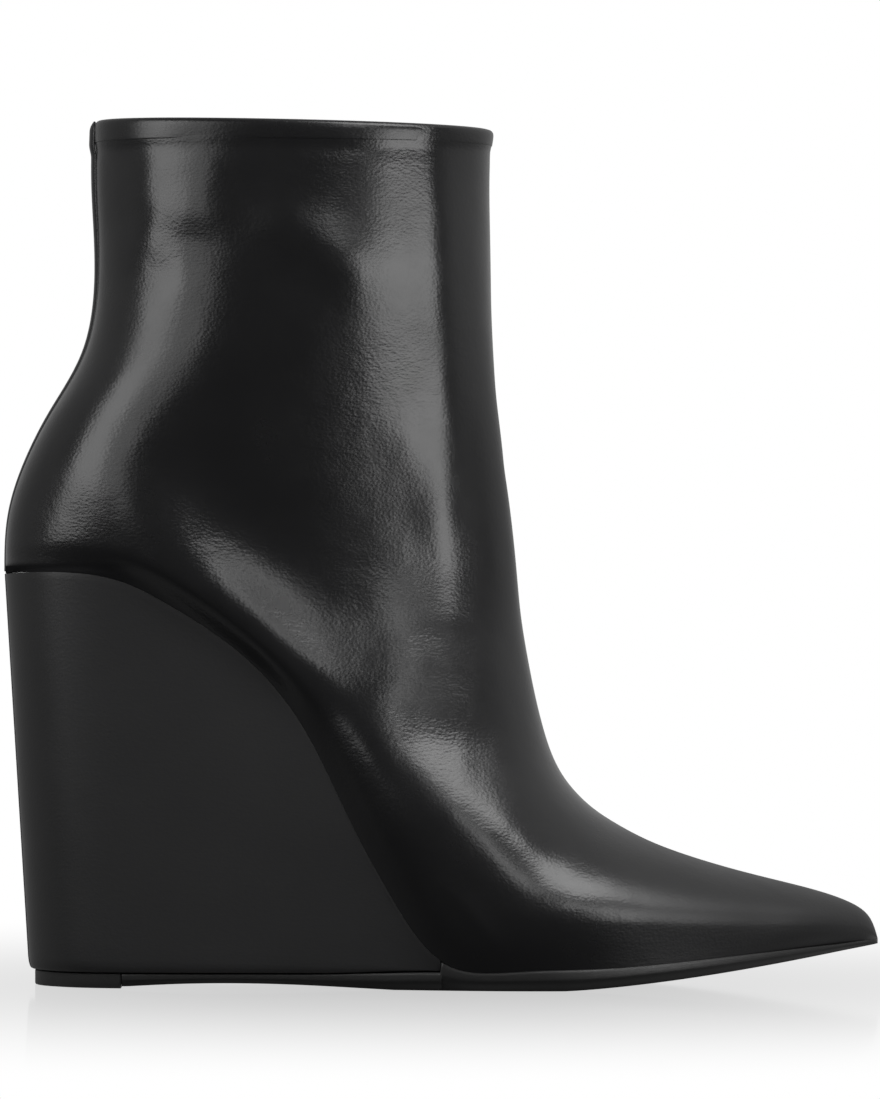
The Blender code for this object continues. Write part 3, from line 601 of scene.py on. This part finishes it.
def collar_fold(material):
    """Folded band over the top edge: the section above, carried round the collar."""
    t = np.linspace(0, 3, 300)
    foot_at = float(np.interp(BINDING_DEPTH, UPPER_TOP - back_line(t)[1], t))
    outer_top, out = collar_ring(0.0, 0.0)
    outer_foot, _ = collar_ring(foot_at, 0.0)
    inner_top, _ = collar_ring(0.0, WALL)
    inner_foot, _ = collar_ring(foot_at, WALL)
    outward, up, side = (closed_spline([row[k] for row in FOLD], 72) for k in range(3))
    side = smooth(side, 0, 1)[:, None, None]
    down = np.clip(-up / BINDING_DEPTH, 0, 1)[:, None, None]
    over = np.clip(up, 0, None)[:, None, None] * np.array([0.0, 0.0, 1.0])
    outer = outer_top + (outer_foot - outer_top) * down + out * outward[:, None, None]
    inner = inner_top + (inner_foot - inner_top) * down - out * outward[:, None, None]
    grid = inner + (outer - inner) * side + over
    rows, columns = grid.shape[:2]
    grid = np.concatenate([grid, grid[:1]])
    return make_piece("collar_fold", grid, grid_faces(rows + 1, columns, closed=True), material,
                      ["collar_binding"])


def back_piping(material):
    """Raised strip down the centre back: a half round that narrows to the heel and is rounded on top."""
    t = even_rows(0, HEEL_CORNER - 0.05, 260)
    across = np.sin(np.linspace(-np.pi / 2, np.pi / 2, 25))
    down = smooth(t, 0, HEEL_CORNER)[:, None]
    half = (SEAM_WIDTH_TOP + (SEAM_WIDTH_HEEL - SEAM_WIDTH_TOP) * down) / 2
    rise = SEAM_RISE_TOP + (SEAM_RISE_HEEL - SEAM_RISE_TOP) * down
    bx, bz, fx, fz = (value[:, None] for value in section_ends(t, 0.0))
    depth = UPPER_TOP - bz
    end = np.sqrt(np.clip(1 - (1 - np.clip(depth / 2.2, 0, 1)) ** 2, 0.12, 1))
    half = half * (0.55 + 0.45 * end)
    y = half * across
    width = spline(SECTION_AT, HALF_WIDTH, t)[:, None]
    widest = spline(SECTION_AT, WIDEST, t)[:, None]
    ahead = widest * (1 - (1 - (np.abs(y) / width) ** POWER) ** (1 / POWER))
    nx, nz = (-value[:, None] for value in inward(back_line, t, 1))
    over_fold = 1 - smooth(depth, BINDING_DEPTH + GAP, BINDING_DEPTH + 4)
    clear = -0.3 + over_fold * (FOLD_OUT + 0.2)
    skin_x = bx + (fx - bx) * ahead
    skin_z = bz + (fz - bz) * ahead + (BOOT_HEIGHT - GAP - UPPER_TOP) * np.exp(-depth / 1.5)
    crown = rise * end * np.sqrt(np.clip(1 - 0.93 * across ** 2, 0, None))
    under = np.stack([skin_x + nx * clear, y, skin_z + nz * clear], axis=-1)
    over = np.stack([skin_x + nx * (clear + crown), y, skin_z + nz * (clear + crown)], axis=-1)
    loop = np.concatenate([under, over[:, ::-1]], axis=1)
    rows, columns = loop.shape[:2]
    faces = [tuple(face) for face in grid_faces(rows, columns, closed=True)]
    faces += [tuple(range(columns))[::-1], tuple(range((rows - 1) * columns, rows * columns))]
    return make_piece("back_piping", bent(loop), faces, material, ["back_seam"], sharp=50)


def outsole_under(x):
    """Underside of the outsole: arch, forefoot flat and toe spring."""
    share = (x - HEEL_BACK) / LAST_LENGTH
    clearance = OUTSOLE_WAIST_TOP - OUTSOLE_WAIST_THICKNESS
    arch = clearance * spline([row[0] for row in ARCH], [row[1] for row in ARCH],
                              np.clip(share, ARCH[0][0], ARCH[-1][0]))
    lift = np.clip((share - FOREFOOT_FLAT_END) / (1 - FOREFOOT_FLAT_END), 0, 1)
    return np.where(share < ARCH[-1][0], np.clip(arch, 0, None), TOE_SPRING * lift ** TOE_SPRING_CURVE)


def outsole_waist_top(x):
    """Top of the outsole under the wedge, which thickens towards the ball."""
    start, _ = back_line(14.0)
    end, _ = back_line(19.0)
    return OUTSOLE_WAIST_TOP + (FEATHER_HEIGHT - GAP - OUTSOLE_WAIST_TOP) * smooth(x, start, end)


def floor_x(x, seat_back, floor_back):
    """Place at floor level under a place at the feather line, drawn in by the heel's rake."""
    front, _ = back_line(SHANK_END)
    return floor_back + (x - seat_back) * (front - floor_back) / (front - seat_back)


def stacked(name, levels, material, replaced, sharp=50.0, shape=None):
    """Solid from levels of outlines, top level first: each has rows of x, half width and height.

    Both sides of a level are joined into one loop, and the first and last levels are capped.
    """
    loops = []
    for level in levels:
        other = level[::-1] * np.array([1, -1, 1])
        loops.append(bent(np.concatenate([level, other])))
    loop = np.stack(loops)
    if shape:
        loop = shape(loop)
    rows, columns = loop.shape[:2]
    stations = columns // 2
    i = np.arange(stations - 1)
    cap = np.stack([i, i + 1, columns - 2 - i, columns - 1 - i], axis=-1)
    faces = np.concatenate([grid_faces(rows, columns, closed=True), cap, cap[:, ::-1] + (rows - 1) * columns])
    return make_piece(name, loop, faces, material, replaced, sharp)


def ridged(loop):
    """Wedge cover with its seam up the centre back: a thin ridge with a groove at each side."""
    y = loop[..., 1]
    at_back = 1 - smooth(loop[..., 0], HEEL_BACK + HEEL_RAKE + 3, HEEL_BACK + HEEL_RAKE + 6)
    ridge = 0.30 * np.exp(-(y / 0.45) ** 2) - 0.22 * np.exp(-((np.abs(y) - 1.1) / 0.45) ** 2)
    moved = loop.copy()
    moved[..., 0] -= ridge * at_back
    return moved


def wedge_cover(material):
    """Covered wedge: its top follows the feather line and its sides run down to the floor outline.

    Its top edge is drawn in over a small radius, so that it meets the upper in a soft valley.
    """
    turn = np.linspace(0, np.pi / 2, 60)
    near_back = HEEL_CORNER + (1 - np.cos(turn)) * 3
    t = np.concatenate([near_back, even_rows(near_back[-1], SHANK_END, 150)[1:]])
    top_x, top_z = back_line(t)
    slope = feather_slope(top_x)
    top_z = top_z - CLOSE_GAP * np.sqrt(1 + slope ** 2)
    half = outline(top_x)
    half[0] = 0
    seat_back = top_x[0]
    floor_back = seat_back + HEEL_RAKE
    low_x = floor_x(top_x, seat_back, floor_back)
    low_z = np.maximum(outsole_waist_top(low_x), TOP_PIECE_HEIGHT) + GAP
    inset_x = floor_x(top_x, seat_back, floor_back + WEDGE_TUCK)
    length = np.maximum(top_z - low_z, 1e-6)
    round_in = WEDGE_ROUND
    levels = []
    depths = np.concatenate([round_in * (1 - np.cos(np.linspace(0, np.pi / 2, 5))), np.linspace(2, 100, 26)])
    for depth in depths:
        share = np.clip(depth / np.where(depth <= 2, length, 100 / 0.97), 0, 0.97)
        tuck = round_in * (1 - np.sqrt(np.clip(1 - (1 - min(depth / round_in, 1)) ** 2, 0, 1)))
        x = top_x + (low_x - top_x) * share + tuck * np.exp(-(top_x - seat_back) / 2)
        side = np.clip(half * (1 - (1 - WEDGE_TAPER) * share) - tuck * np.clip(half / 6, 0, 1), 0, None)
        levels.append(np.stack([x, side, top_z - length * share], axis=-1))
    for turn_in in (0.3, 0.6, 0.85, 1.0):
        share = 0.97 + 0.03 * np.sin(turn_in * np.pi / 2)
        drawn = 1 - np.cos(turn_in * np.pi / 2)
        x = top_x + (low_x - top_x) * share
        x = x + (inset_x - low_x) * drawn
        side = half * (1 - (1 - WEDGE_TAPER) * share) - WEDGE_TUCK * half / HEEL_HALF_WIDTH * drawn
        levels.append(np.stack([x, side, top_z - length * share], axis=-1))
    return stacked("wedge_cover", levels, material, ["wedge"], shape=ridged)


def sole_edge(material):
    """Thin sole from the heel piece to the toe tip: a short upright edge, then a long soft bevel."""
    piece_front = HEEL_BACK + HEEL_RAKE + TOP_PIECE_LENGTH
    wedge_front, _ = back_line(SHANK_END)
    waist = np.linspace(piece_front + GAP, wedge_front, 90)
    ball, _ = back_line(even_rows(SHANK_END, LAST_SECTION, 150)[1:])
    fore = np.concatenate([[wedge_front + GAP], ball])
    x = np.concatenate([waist, fore])
    top = np.concatenate([outsole_waist_top(waist), feather_height(fore) - CLOSE_GAP])
    half = outline(x)
    half[-1] = 0
    under = outsole_under(x)
    forefoot = smooth(x, wedge_front - 30, wedge_front + 12)
    flush = half * WEDGE_TAPER - WEDGE_TUCK - GAP
    levels = []
    for share in (0.0, 0.04, 0.1, 0.16, 0.3, 0.42, 0.5, 0.6, 0.72, 0.84, 0.93, 1.0):
        rise_out = np.sqrt(1 - (1 - min(share / 0.16, 1)) ** 2)
        edge = SOLE_EDGE * rise_out - SOLE_BEVEL * smooth(share, 0.38, 1.05) ** 1.3
        side = half + edge * np.clip(half / 8.0, 0, 1)
        low_side = flush + (edge - SOLE_EDGE) * 0.4
        side = low_side + (side - low_side) * forefoot
        levels.append(np.stack([x, np.clip(side, 0, None), top + (under - top) * share], axis=-1))
    return stacked("sole", levels, material, ["outsole"], sharp=35)


def heel_piece(material):
    """Rubber piece under the heel, with its lower edge slightly worn round."""
    back = HEEL_BACK + HEEL_RAKE + 1.4
    front = HEEL_BACK + HEEL_RAKE + TOP_PIECE_LENGTH
    turn = np.linspace(0, np.pi / 2, 60)
    x = back + (front - back) * (1 - np.cos(turn))
    inset = (WEDGE_TUCK + GAP) * np.clip((x - back) / 6, 0, 1)
    half = np.clip(outline(HEEL_BACK + (x - back)) * WEDGE_TAPER - inset, 0, None)
    half[0] = 0
    levels = []
    for height, drawn in ((TOP_PIECE_HEIGHT, 0.2), (TOP_PIECE_HEIGHT - 0.2, 0), (0.4, 0), (0.1, 0.12), (0, 0.4)):
        side = np.clip(half - drawn * np.clip(half / 3, 0, 1), 0, None)
        along = x + drawn * np.exp(-(x - back) / 2)
        levels.append(np.stack([along, side, np.full_like(x, height)], axis=-1))
    return stacked("heel_tip", levels, material, ["heel_top_piece"], sharp=35)


def sock(material):
    """Sock on the insole board: bent to the wedge and the sole, with a rounded top edge."""
    t = even_rows(HEEL_CORNER + 1, LAST_SECTION - 2.5, 160)
    x, half, z = bottom_rim(t, WALL)
    half = half - 3 * GAP
    slope = feather_slope(x)
    length = np.sqrt(1 + slope ** 2)
    levels = []
    for share, drawn in ((1.0, 0.8), (0.97, 0.35), (0.8, 0.05), (0.5, 0.0), (0.0, 0.0)):
        thick = INSOLE_THICKNESS * share
        side = half - drawn
        levels.append(np.stack([x - thick * slope / length, side, z + thick / length], axis=-1))
    return stacked("sock", levels, material, ["insole"], sharp=40)


def node_of(tree, kind, **inputs):
    """Shader node of a kind, with values set on its sockets by name."""
    node = tree.nodes.new(kind)
    for name, value in inputs.items():
        node.inputs[name.replace("_", " ")].default_value = value
    return node


# Painted shade for the heel's shadow, where the leather turns under at the heel: the specular level is
# lowered between these places along the boot, and between these heights, in metres
PAINTED_SHADE_BEFORE = (-0.090, -0.080)
PAINTED_SHADE_BELOW = (0.1106, 0.1122)


def grain_group():
    """Leather's surface from Object coordinates: cells of grain, short wrinkles and slow swells.

    Its height is a weighted sum of the three in parts of one, and its gloss is slow noise. Forward
    is the place along the boot, and Painted Shade is one in the strip where the leather turns under
    at the heel, which marks painted shade for the heel's shadow.
    """
    group = bpy.data.node_groups.new("leather_surface", "ShaderNodeTree")
    face = group.interface
    for name, value in (("Cells per Metre", 1100.0), ("Grain", 0.4), ("Wrinkles", 0.3), ("Swells", 0.3)):
        face.new_socket(name, in_out="INPUT", socket_type="NodeSocketFloat").default_value = value
    for name in ("Height", "Gloss", "Forward", "Painted Shade"):
        face.new_socket(name, in_out="OUTPUT", socket_type="NodeSocketFloat")
    nodes, link = group.nodes, group.links.new
    given = nodes.new("NodeGroupInput")
    out = nodes.new("NodeGroupOutput")
    place_of = nodes.new("ShaderNodeTexCoord")

    def scaled(stretch):
        mapping = nodes.new("ShaderNodeMapping")
        mapping.inputs["Scale"].default_value = stretch
        link(place_of.outputs["Object"], mapping.inputs["Vector"])
        return mapping.outputs["Vector"]

    def combined(operation, a, b):
        node = nodes.new("ShaderNodeMath")
        node.operation = operation
        for socket, value in zip(node.inputs, (a, b)):
            if isinstance(value, float):
                socket.default_value = value
            else:
                link(value, socket)
        return node.outputs["Value"]

    cells = nodes.new("ShaderNodeTexVoronoi")
    cells.feature = "SMOOTH_F1"
    cells.inputs["Smoothness"].default_value = 0.6
    cells.inputs["Randomness"].default_value = 0.9
    link(scaled((1.0, 1.0, 1.35)), cells.inputs["Vector"])
    link(given.outputs["Cells per Metre"], cells.inputs["Scale"])
    grain = combined("MULTIPLY", cells.outputs["Distance"], given.outputs["Grain"])

    wrinkles = nodes.new("ShaderNodeTexNoise")
    wrinkles.inputs["Scale"].default_value = 700.0
    wrinkles.inputs["Detail"].default_value = 3.0
    wrinkles.inputs["Roughness"].default_value = 0.55
    wrinkles.inputs["Distortion"].default_value = 0.6
    link(scaled((0.45, 0.45, 1.3)), wrinkles.inputs["Vector"])
    wrinkle = combined("MULTIPLY", wrinkles.outputs["Fac"], given.outputs["Wrinkles"])

    swells = nodes.new("ShaderNodeTexNoise")
    swells.inputs["Scale"].default_value = 62.0
    swells.inputs["Detail"].default_value = 2.0
    link(scaled((1.0, 1.0, 1.0)), swells.inputs["Vector"])
    swell = combined("MULTIPLY", swells.outputs["Fac"], given.outputs["Swells"])
    link(combined("ADD", combined("ADD", grain, wrinkle), swell), out.inputs["Height"])

    gloss = nodes.new("ShaderNodeTexNoise")
    gloss.inputs["Scale"].default_value = 38.0
    gloss.inputs["Detail"].default_value = 5.0
    gloss.inputs["Roughness"].default_value = 0.62
    link(scaled((1.0, 1.0, 1.0)), gloss.inputs["Vector"])
    link(gloss.outputs["Fac"], out.inputs["Gloss"])
    axes = nodes.new("ShaderNodeSeparateXYZ")
    link(place_of.outputs["Object"], axes.inputs["Vector"])
    link(axes.outputs["X"], out.inputs["Forward"])

    def fading(value, start, end):
        fade = nodes.new("ShaderNodeMapRange")
        fade.interpolation_type = "SMOOTHSTEP"
        for socket, number in (("From Min", start), ("From Max", end), ("To Min", 1.0), ("To Max", 0.0)):
            fade.inputs[socket].default_value = number
        link(value, fade.inputs["Value"])
        return fade.outputs["Result"]

    # Painted shade mask: one behind and below these places, where the leather turns under at the heel
    behind = fading(axes.outputs["X"], *PAINTED_SHADE_BEFORE)
    low = fading(axes.outputs["Z"], *PAINTED_SHADE_BELOW)
    link(combined("MULTIPLY", behind, low), out.inputs["Painted Shade"])
    return group


# Where the leather grows duller towards the toe, in metres from the boot's middle
DULL_FROM = 0.036
DULL_TO = 0.060


SURFACE = grain_group()


def leather(name, colour, roughness, spread, cells, grain, wrinkles, swells, depth, specular=0.5, dulling=0.0, painted_shade_specular=None):
    """Dyed leather: a dark base, gloss that varies by spread, and the surface group as a bump.

    depth is the height in metres that a step of one in the group's output stands for. dulling is
    added to the roughness over the toe, and painted_shade_specular is the specular level where the
    leather turns under at the heel: a painted shade.
    """
    material = bpy.data.materials.new(name)
    material.use_nodes = True
    tree = material.node_tree
    shader = tree.nodes["Principled BSDF"]
    shader.inputs["Base Color"].default_value = (*colour, 1)
    surface = tree.nodes.new("ShaderNodeGroup")
    surface.node_tree = SURFACE
    painted_shade_specular = specular if painted_shade_specular is None else painted_shade_specular
    # Painted shade: the specular level falls to painted_shade_specular where the leather turns under at the heel
    shade = node_of(tree, "ShaderNodeMapRange", To_Min=specular, To_Max=painted_shade_specular)
    tree.links.new(surface.outputs["Painted Shade"], shade.inputs["Value"])
    tree.links.new(shade.outputs["Result"], shader.inputs["Specular IOR Level"])
    for socket, value in (("Cells per Metre", cells), ("Grain", grain), ("Wrinkles", wrinkles), ("Swells", swells)):
        surface.inputs[socket].default_value = value
    bump = node_of(tree, "ShaderNodeBump", Strength=1.0, Distance=depth)
    tree.links.new(surface.outputs["Height"], bump.inputs["Height"])
    tree.links.new(bump.outputs["Normal"], shader.inputs["Normal"])
    rough = tree.nodes.new("ShaderNodeMapRange")
    rough.inputs["From Min"].default_value = 0.3
    rough.inputs["From Max"].default_value = 0.7
    rough.inputs["To Min"].default_value = roughness - spread
    rough.inputs["To Max"].default_value = roughness + spread
    tree.links.new(surface.outputs["Gloss"], rough.inputs["Value"])
    forward = tree.nodes.new("ShaderNodeMapRange")
    forward.interpolation_type = "SMOOTHSTEP"
    for socket, value in (("From Min", DULL_FROM), ("From Max", DULL_TO), ("To Min", 0.0), ("To Max", dulling)):
        forward.inputs[socket].default_value = value
    tree.links.new(surface.outputs["Forward"], forward.inputs["Value"])
    total = tree.nodes.new("ShaderNodeMath")
    tree.links.new(rough.outputs["Result"], total.inputs[0])
    tree.links.new(forward.outputs["Result"], total.inputs[1])
    tree.links.new(total.outputs["Value"], shader.inputs["Roughness"])
    return material


def rubber(name, colour, roughness, scale, depth):
    """Black rubber or sole leather: fine noise in the bump and in the roughness."""
    material = bpy.data.materials.new(name)
    material.use_nodes = True
    tree = material.node_tree
    shader = tree.nodes["Principled BSDF"]
    shader.inputs["Base Color"].default_value = (*colour, 1)
    where = tree.nodes.new("ShaderNodeTexCoord")
    noise = node_of(tree, "ShaderNodeTexNoise", Scale=scale, Detail=4.0, Roughness=0.6)
    tree.links.new(where.outputs["Object"], noise.inputs["Vector"])
    bump = node_of(tree, "ShaderNodeBump", Strength=1.0, Distance=depth)
    tree.links.new(noise.outputs["Fac"], bump.inputs["Height"])
    tree.links.new(bump.outputs["Normal"], shader.inputs["Normal"])
    rough = node_of(tree, "ShaderNodeMapRange")
    rough.inputs["To Min"].default_value = roughness - 0.1
    rough.inputs["To Max"].default_value = roughness + 0.1
    tree.links.new(noise.outputs["Fac"], rough.inputs["Value"])
    tree.links.new(rough.outputs["Result"], shader.inputs["Roughness"])
    return material


# The upper leather loses all its specular where it turns under at the heel, as painted shade
upper_leather = leather("upper_leather", (0.011, 0.011, 0.0115), 0.24, 0.05, 1150.0, 0.30, 0.35, 2.4, 0.0001, dulling=0.22, painted_shade_specular=0.0)
trim_leather = leather("trim_leather", (0.010, 0.010, 0.0105), 0.27, 0.04, 1150.0, 0.20, 0.4, 0.6, 0.0001)
wedge_leather = leather("wedge_leather", (0.021, 0.021, 0.0215), 0.40, 0.03, 1150.0, 0.15, 0.2, 0.5, 0.0001, 0.35)
lining_leather = leather("lining_leather", (0.020, 0.019, 0.018), 0.58, 0.05, 1500.0, 0.3, 0.3, 0.3, 0.0001)
sole_rubber = rubber("sole_rubber", (0.010, 0.010, 0.010), 0.46, 900.0, 0.00003)
heel_rubber = rubber("heel_rubber", (0.012, 0.012, 0.012), 0.50, 1400.0, 0.00005)

shell("boot_leather", 0.0, LEATHER, upper_leather, creased)
shell("boot_lining", LEATHER + 0.1, WALL, lining_leather)
collar_fold(trim_leather)
back_piping(trim_leather)
wedge_cover(wedge_leather)
sole_edge(sole_rubber)
heel_piece(heel_rubber)
sock(lining_leather)


def studio_floor():
    """White floor that mirrors softly round the boot and turns plain white further out."""
    reach = 3.0
    mesh = bpy.data.meshes.new("floor")
    mesh.from_pydata([(-reach, -reach, 0), (reach, -reach, 0), (reach, reach, 0), (-reach, reach, 0)], [], [(0, 1, 2, 3)])
    floor = bpy.data.objects.new("floor", mesh)
    bpy.context.scene.collection.objects.link(floor)
    material = bpy.data.materials.new("floor_white")
    material.use_nodes = True
    tree = material.node_tree
    tree.nodes.remove(tree.nodes["Principled BSDF"])
    out = tree.nodes["Material Output"]
    where = tree.nodes.new("ShaderNodeTexCoord")
    length = tree.nodes.new("ShaderNodeVectorMath")
    length.operation = "LENGTH"
    tree.links.new(where.outputs["Object"], length.inputs[0])
    fade = tree.nodes.new("ShaderNodeMapRange")
    fade.interpolation_type = "SMOOTHSTEP"
    fade.inputs["From Min"].default_value = 0.0
    fade.inputs["From Max"].default_value = 0.38
    fade.inputs["To Min"].default_value = 0.42
    fade.inputs["To Max"].default_value = 0.0
    tree.links.new(length.outputs["Value"], fade.inputs["Value"])
    white = node_of(tree, "ShaderNodeEmission", Color=(1, 1, 1, 1), Strength=1.0)
    gloss = node_of(tree, "ShaderNodeBsdfGlossy", Roughness=0.08)
    mix = tree.nodes.new("ShaderNodeMixShader")
    tree.links.new(fade.outputs["Result"], mix.inputs["Fac"])
    tree.links.new(white.outputs["Emission"], mix.inputs[1])
    tree.links.new(gloss.outputs["BSDF"], mix.inputs[2])
    tree.links.new(mix.outputs["Shader"], out.inputs["Surface"])
    mesh.materials.append(material)
    floor.visible_glossy = False
    floor.visible_diffuse = False
    floor.visible_shadow = False


def studio_world():
    """White backdrop, which lights the boot brightly from behind and hardly from the camera's side."""
    world = bpy.data.worlds.new("studio")
    bpy.context.scene.world = world
    world.use_nodes = True
    tree = world.node_tree
    tree.nodes.clear()
    out = tree.nodes.new("ShaderNodeOutputWorld")
    where = tree.nodes.new("ShaderNodeTexCoord")
    axes = tree.nodes.new("ShaderNodeSeparateXYZ")
    tree.links.new(where.outputs["Generated"], axes.inputs["Vector"])
    behind = tree.nodes.new("ShaderNodeMapRange")
    behind.interpolation_type = "SMOOTHSTEP"
    for name, value in (("From Min", -0.6), ("From Max", 0.15), ("To Min", 0.03), ("To Max", 0.5)):
        behind.inputs[name].default_value = value
    tree.links.new(axes.outputs["Y"], behind.inputs["Value"])
    above = tree.nodes.new("ShaderNodeMapRange")
    above.interpolation_type = "SMOOTHSTEP"
    for name, value in (("From Min", -0.25), ("From Max", 0.02), ("To Min", 0.55), ("To Max", 1.0)):
        above.inputs[name].default_value = value
    tree.links.new(axes.outputs["Z"], above.inputs["Value"])
    rightward = tree.nodes.new("ShaderNodeMapRange")
    rightward.interpolation_type = "SMOOTHSTEP"
    for name, value in (("From Min", -1.0), ("From Max", 1.0), ("To Min", 0.62), ("To Max", 1.1)):
        rightward.inputs[name].default_value = value
    tree.links.new(axes.outputs["X"], rightward.inputs["Value"])
    upper = tree.nodes.new("ShaderNodeMath")
    upper.operation = "MULTIPLY"
    tree.links.new(behind.outputs["Result"], upper.inputs[0])
    tree.links.new(above.outputs["Result"], upper.inputs[1])
    product = tree.nodes.new("ShaderNodeMath")
    product.operation = "MULTIPLY"
    tree.links.new(upper.outputs["Value"], product.inputs[0])
    tree.links.new(rightward.outputs["Result"], product.inputs[1])
    lit = node_of(tree, "ShaderNodeBackground", Color=(1, 1, 1, 1))
    tree.links.new(product.outputs["Value"], lit.inputs["Strength"])
    seen = node_of(tree, "ShaderNodeBackground", Color=(1, 1, 1, 1), Strength=1.0)
    path = tree.nodes.new("ShaderNodeLightPath")
    mix = tree.nodes.new("ShaderNodeMixShader")
    tree.links.new(path.outputs["Is Camera Ray"], mix.inputs["Fac"])
    tree.links.new(lit.outputs["Background"], mix.inputs[1])
    tree.links.new(seen.outputs["Background"], mix.inputs[2])
    tree.links.new(mix.outputs["Shader"], out.inputs["Surface"])


# Soft boxes: bearing from the camera's side, positive to the right, then elevation, both in degrees,
# distance, width and height in metres, and brightness as seen
LIGHT_COLUMNS = ("name", "bearing", "elevation", "distance", "width", "height", "brightness")
LIGHTS = (
    ("left_box", -60.0, 21.0, 0.66, 0.27, 0.44, 3.5),
    ("left_fill", -38.5, 21.0, 0.70, 0.22, 0.46, 1.6),
    ("right_box", 43.5, 1.0, 0.62, 0.27, 0.31, 4.8),
    ("right_fill", 43.0, 22.0, 1.7, 0.60, 0.32, 0.4),
    ("front_box", 23.0, 22.5, 1.9, 0.36, 0.54, 3.6),
    ("top_box", 42.0, 52.0, 1.5, 0.88, 0.76, 6.2),
)


def soft_boxes():
    """Rectangular lights that face the middle of the boot. Power is brightness times pi times area."""
    middle = np.array([0.0, 0.0, 0.11])
    for name, bearing, elevation, distance, width, height, brightness in LIGHTS:
        side, lift = np.radians((bearing, elevation))
        way = np.array([np.sin(side) * np.cos(lift), -np.cos(side) * np.cos(lift), np.sin(lift)])
        data = bpy.data.lights.new(name, "AREA")
        data.shape = "RECTANGLE"
        data.size = width
        data.size_y = height
        data.energy = brightness * np.pi * width * height
        lamp = bpy.data.objects.new(name, data)
        lamp.location = middle + way * distance
        lamp.rotation_euler = (np.pi / 2 - lift, 0, side)
        lamp.visible_camera = False
        bpy.context.scene.collection.objects.link(lamp)


def camera():
    """Level camera looking along +Y, framed so that the photograph's pixels keep their places."""
    data = bpy.data.cameras.new("camera")
    data.sensor_fit = "VERTICAL"
    data.sensor_height = SENSOR
    data.sensor_width = SENSOR
    data.lens = SENSOR * CAMERA_DISTANCE / (PHOTO_HEIGHT * MM_PER_PIXEL)
    view = bpy.data.objects.new("camera", data)
    across = (PHOTO_WIDTH / 2 - MIDDLE_COLUMN) * MM_PER_PIXEL
    height = (FLOOR_ROW - PHOTO_HEIGHT / 2) * MM_PER_PIXEL
    view.location = (across * MM, -CAMERA_DISTANCE * MM, height * MM)
    view.rotation_euler = (np.pi / 2, 0, 0)
    bpy.context.scene.collection.objects.link(view)
    bpy.context.scene.camera = view


studio_floor()
studio_world()
soft_boxes()
camera()
bpy.context.scene.view_settings.view_transform = "Standard"
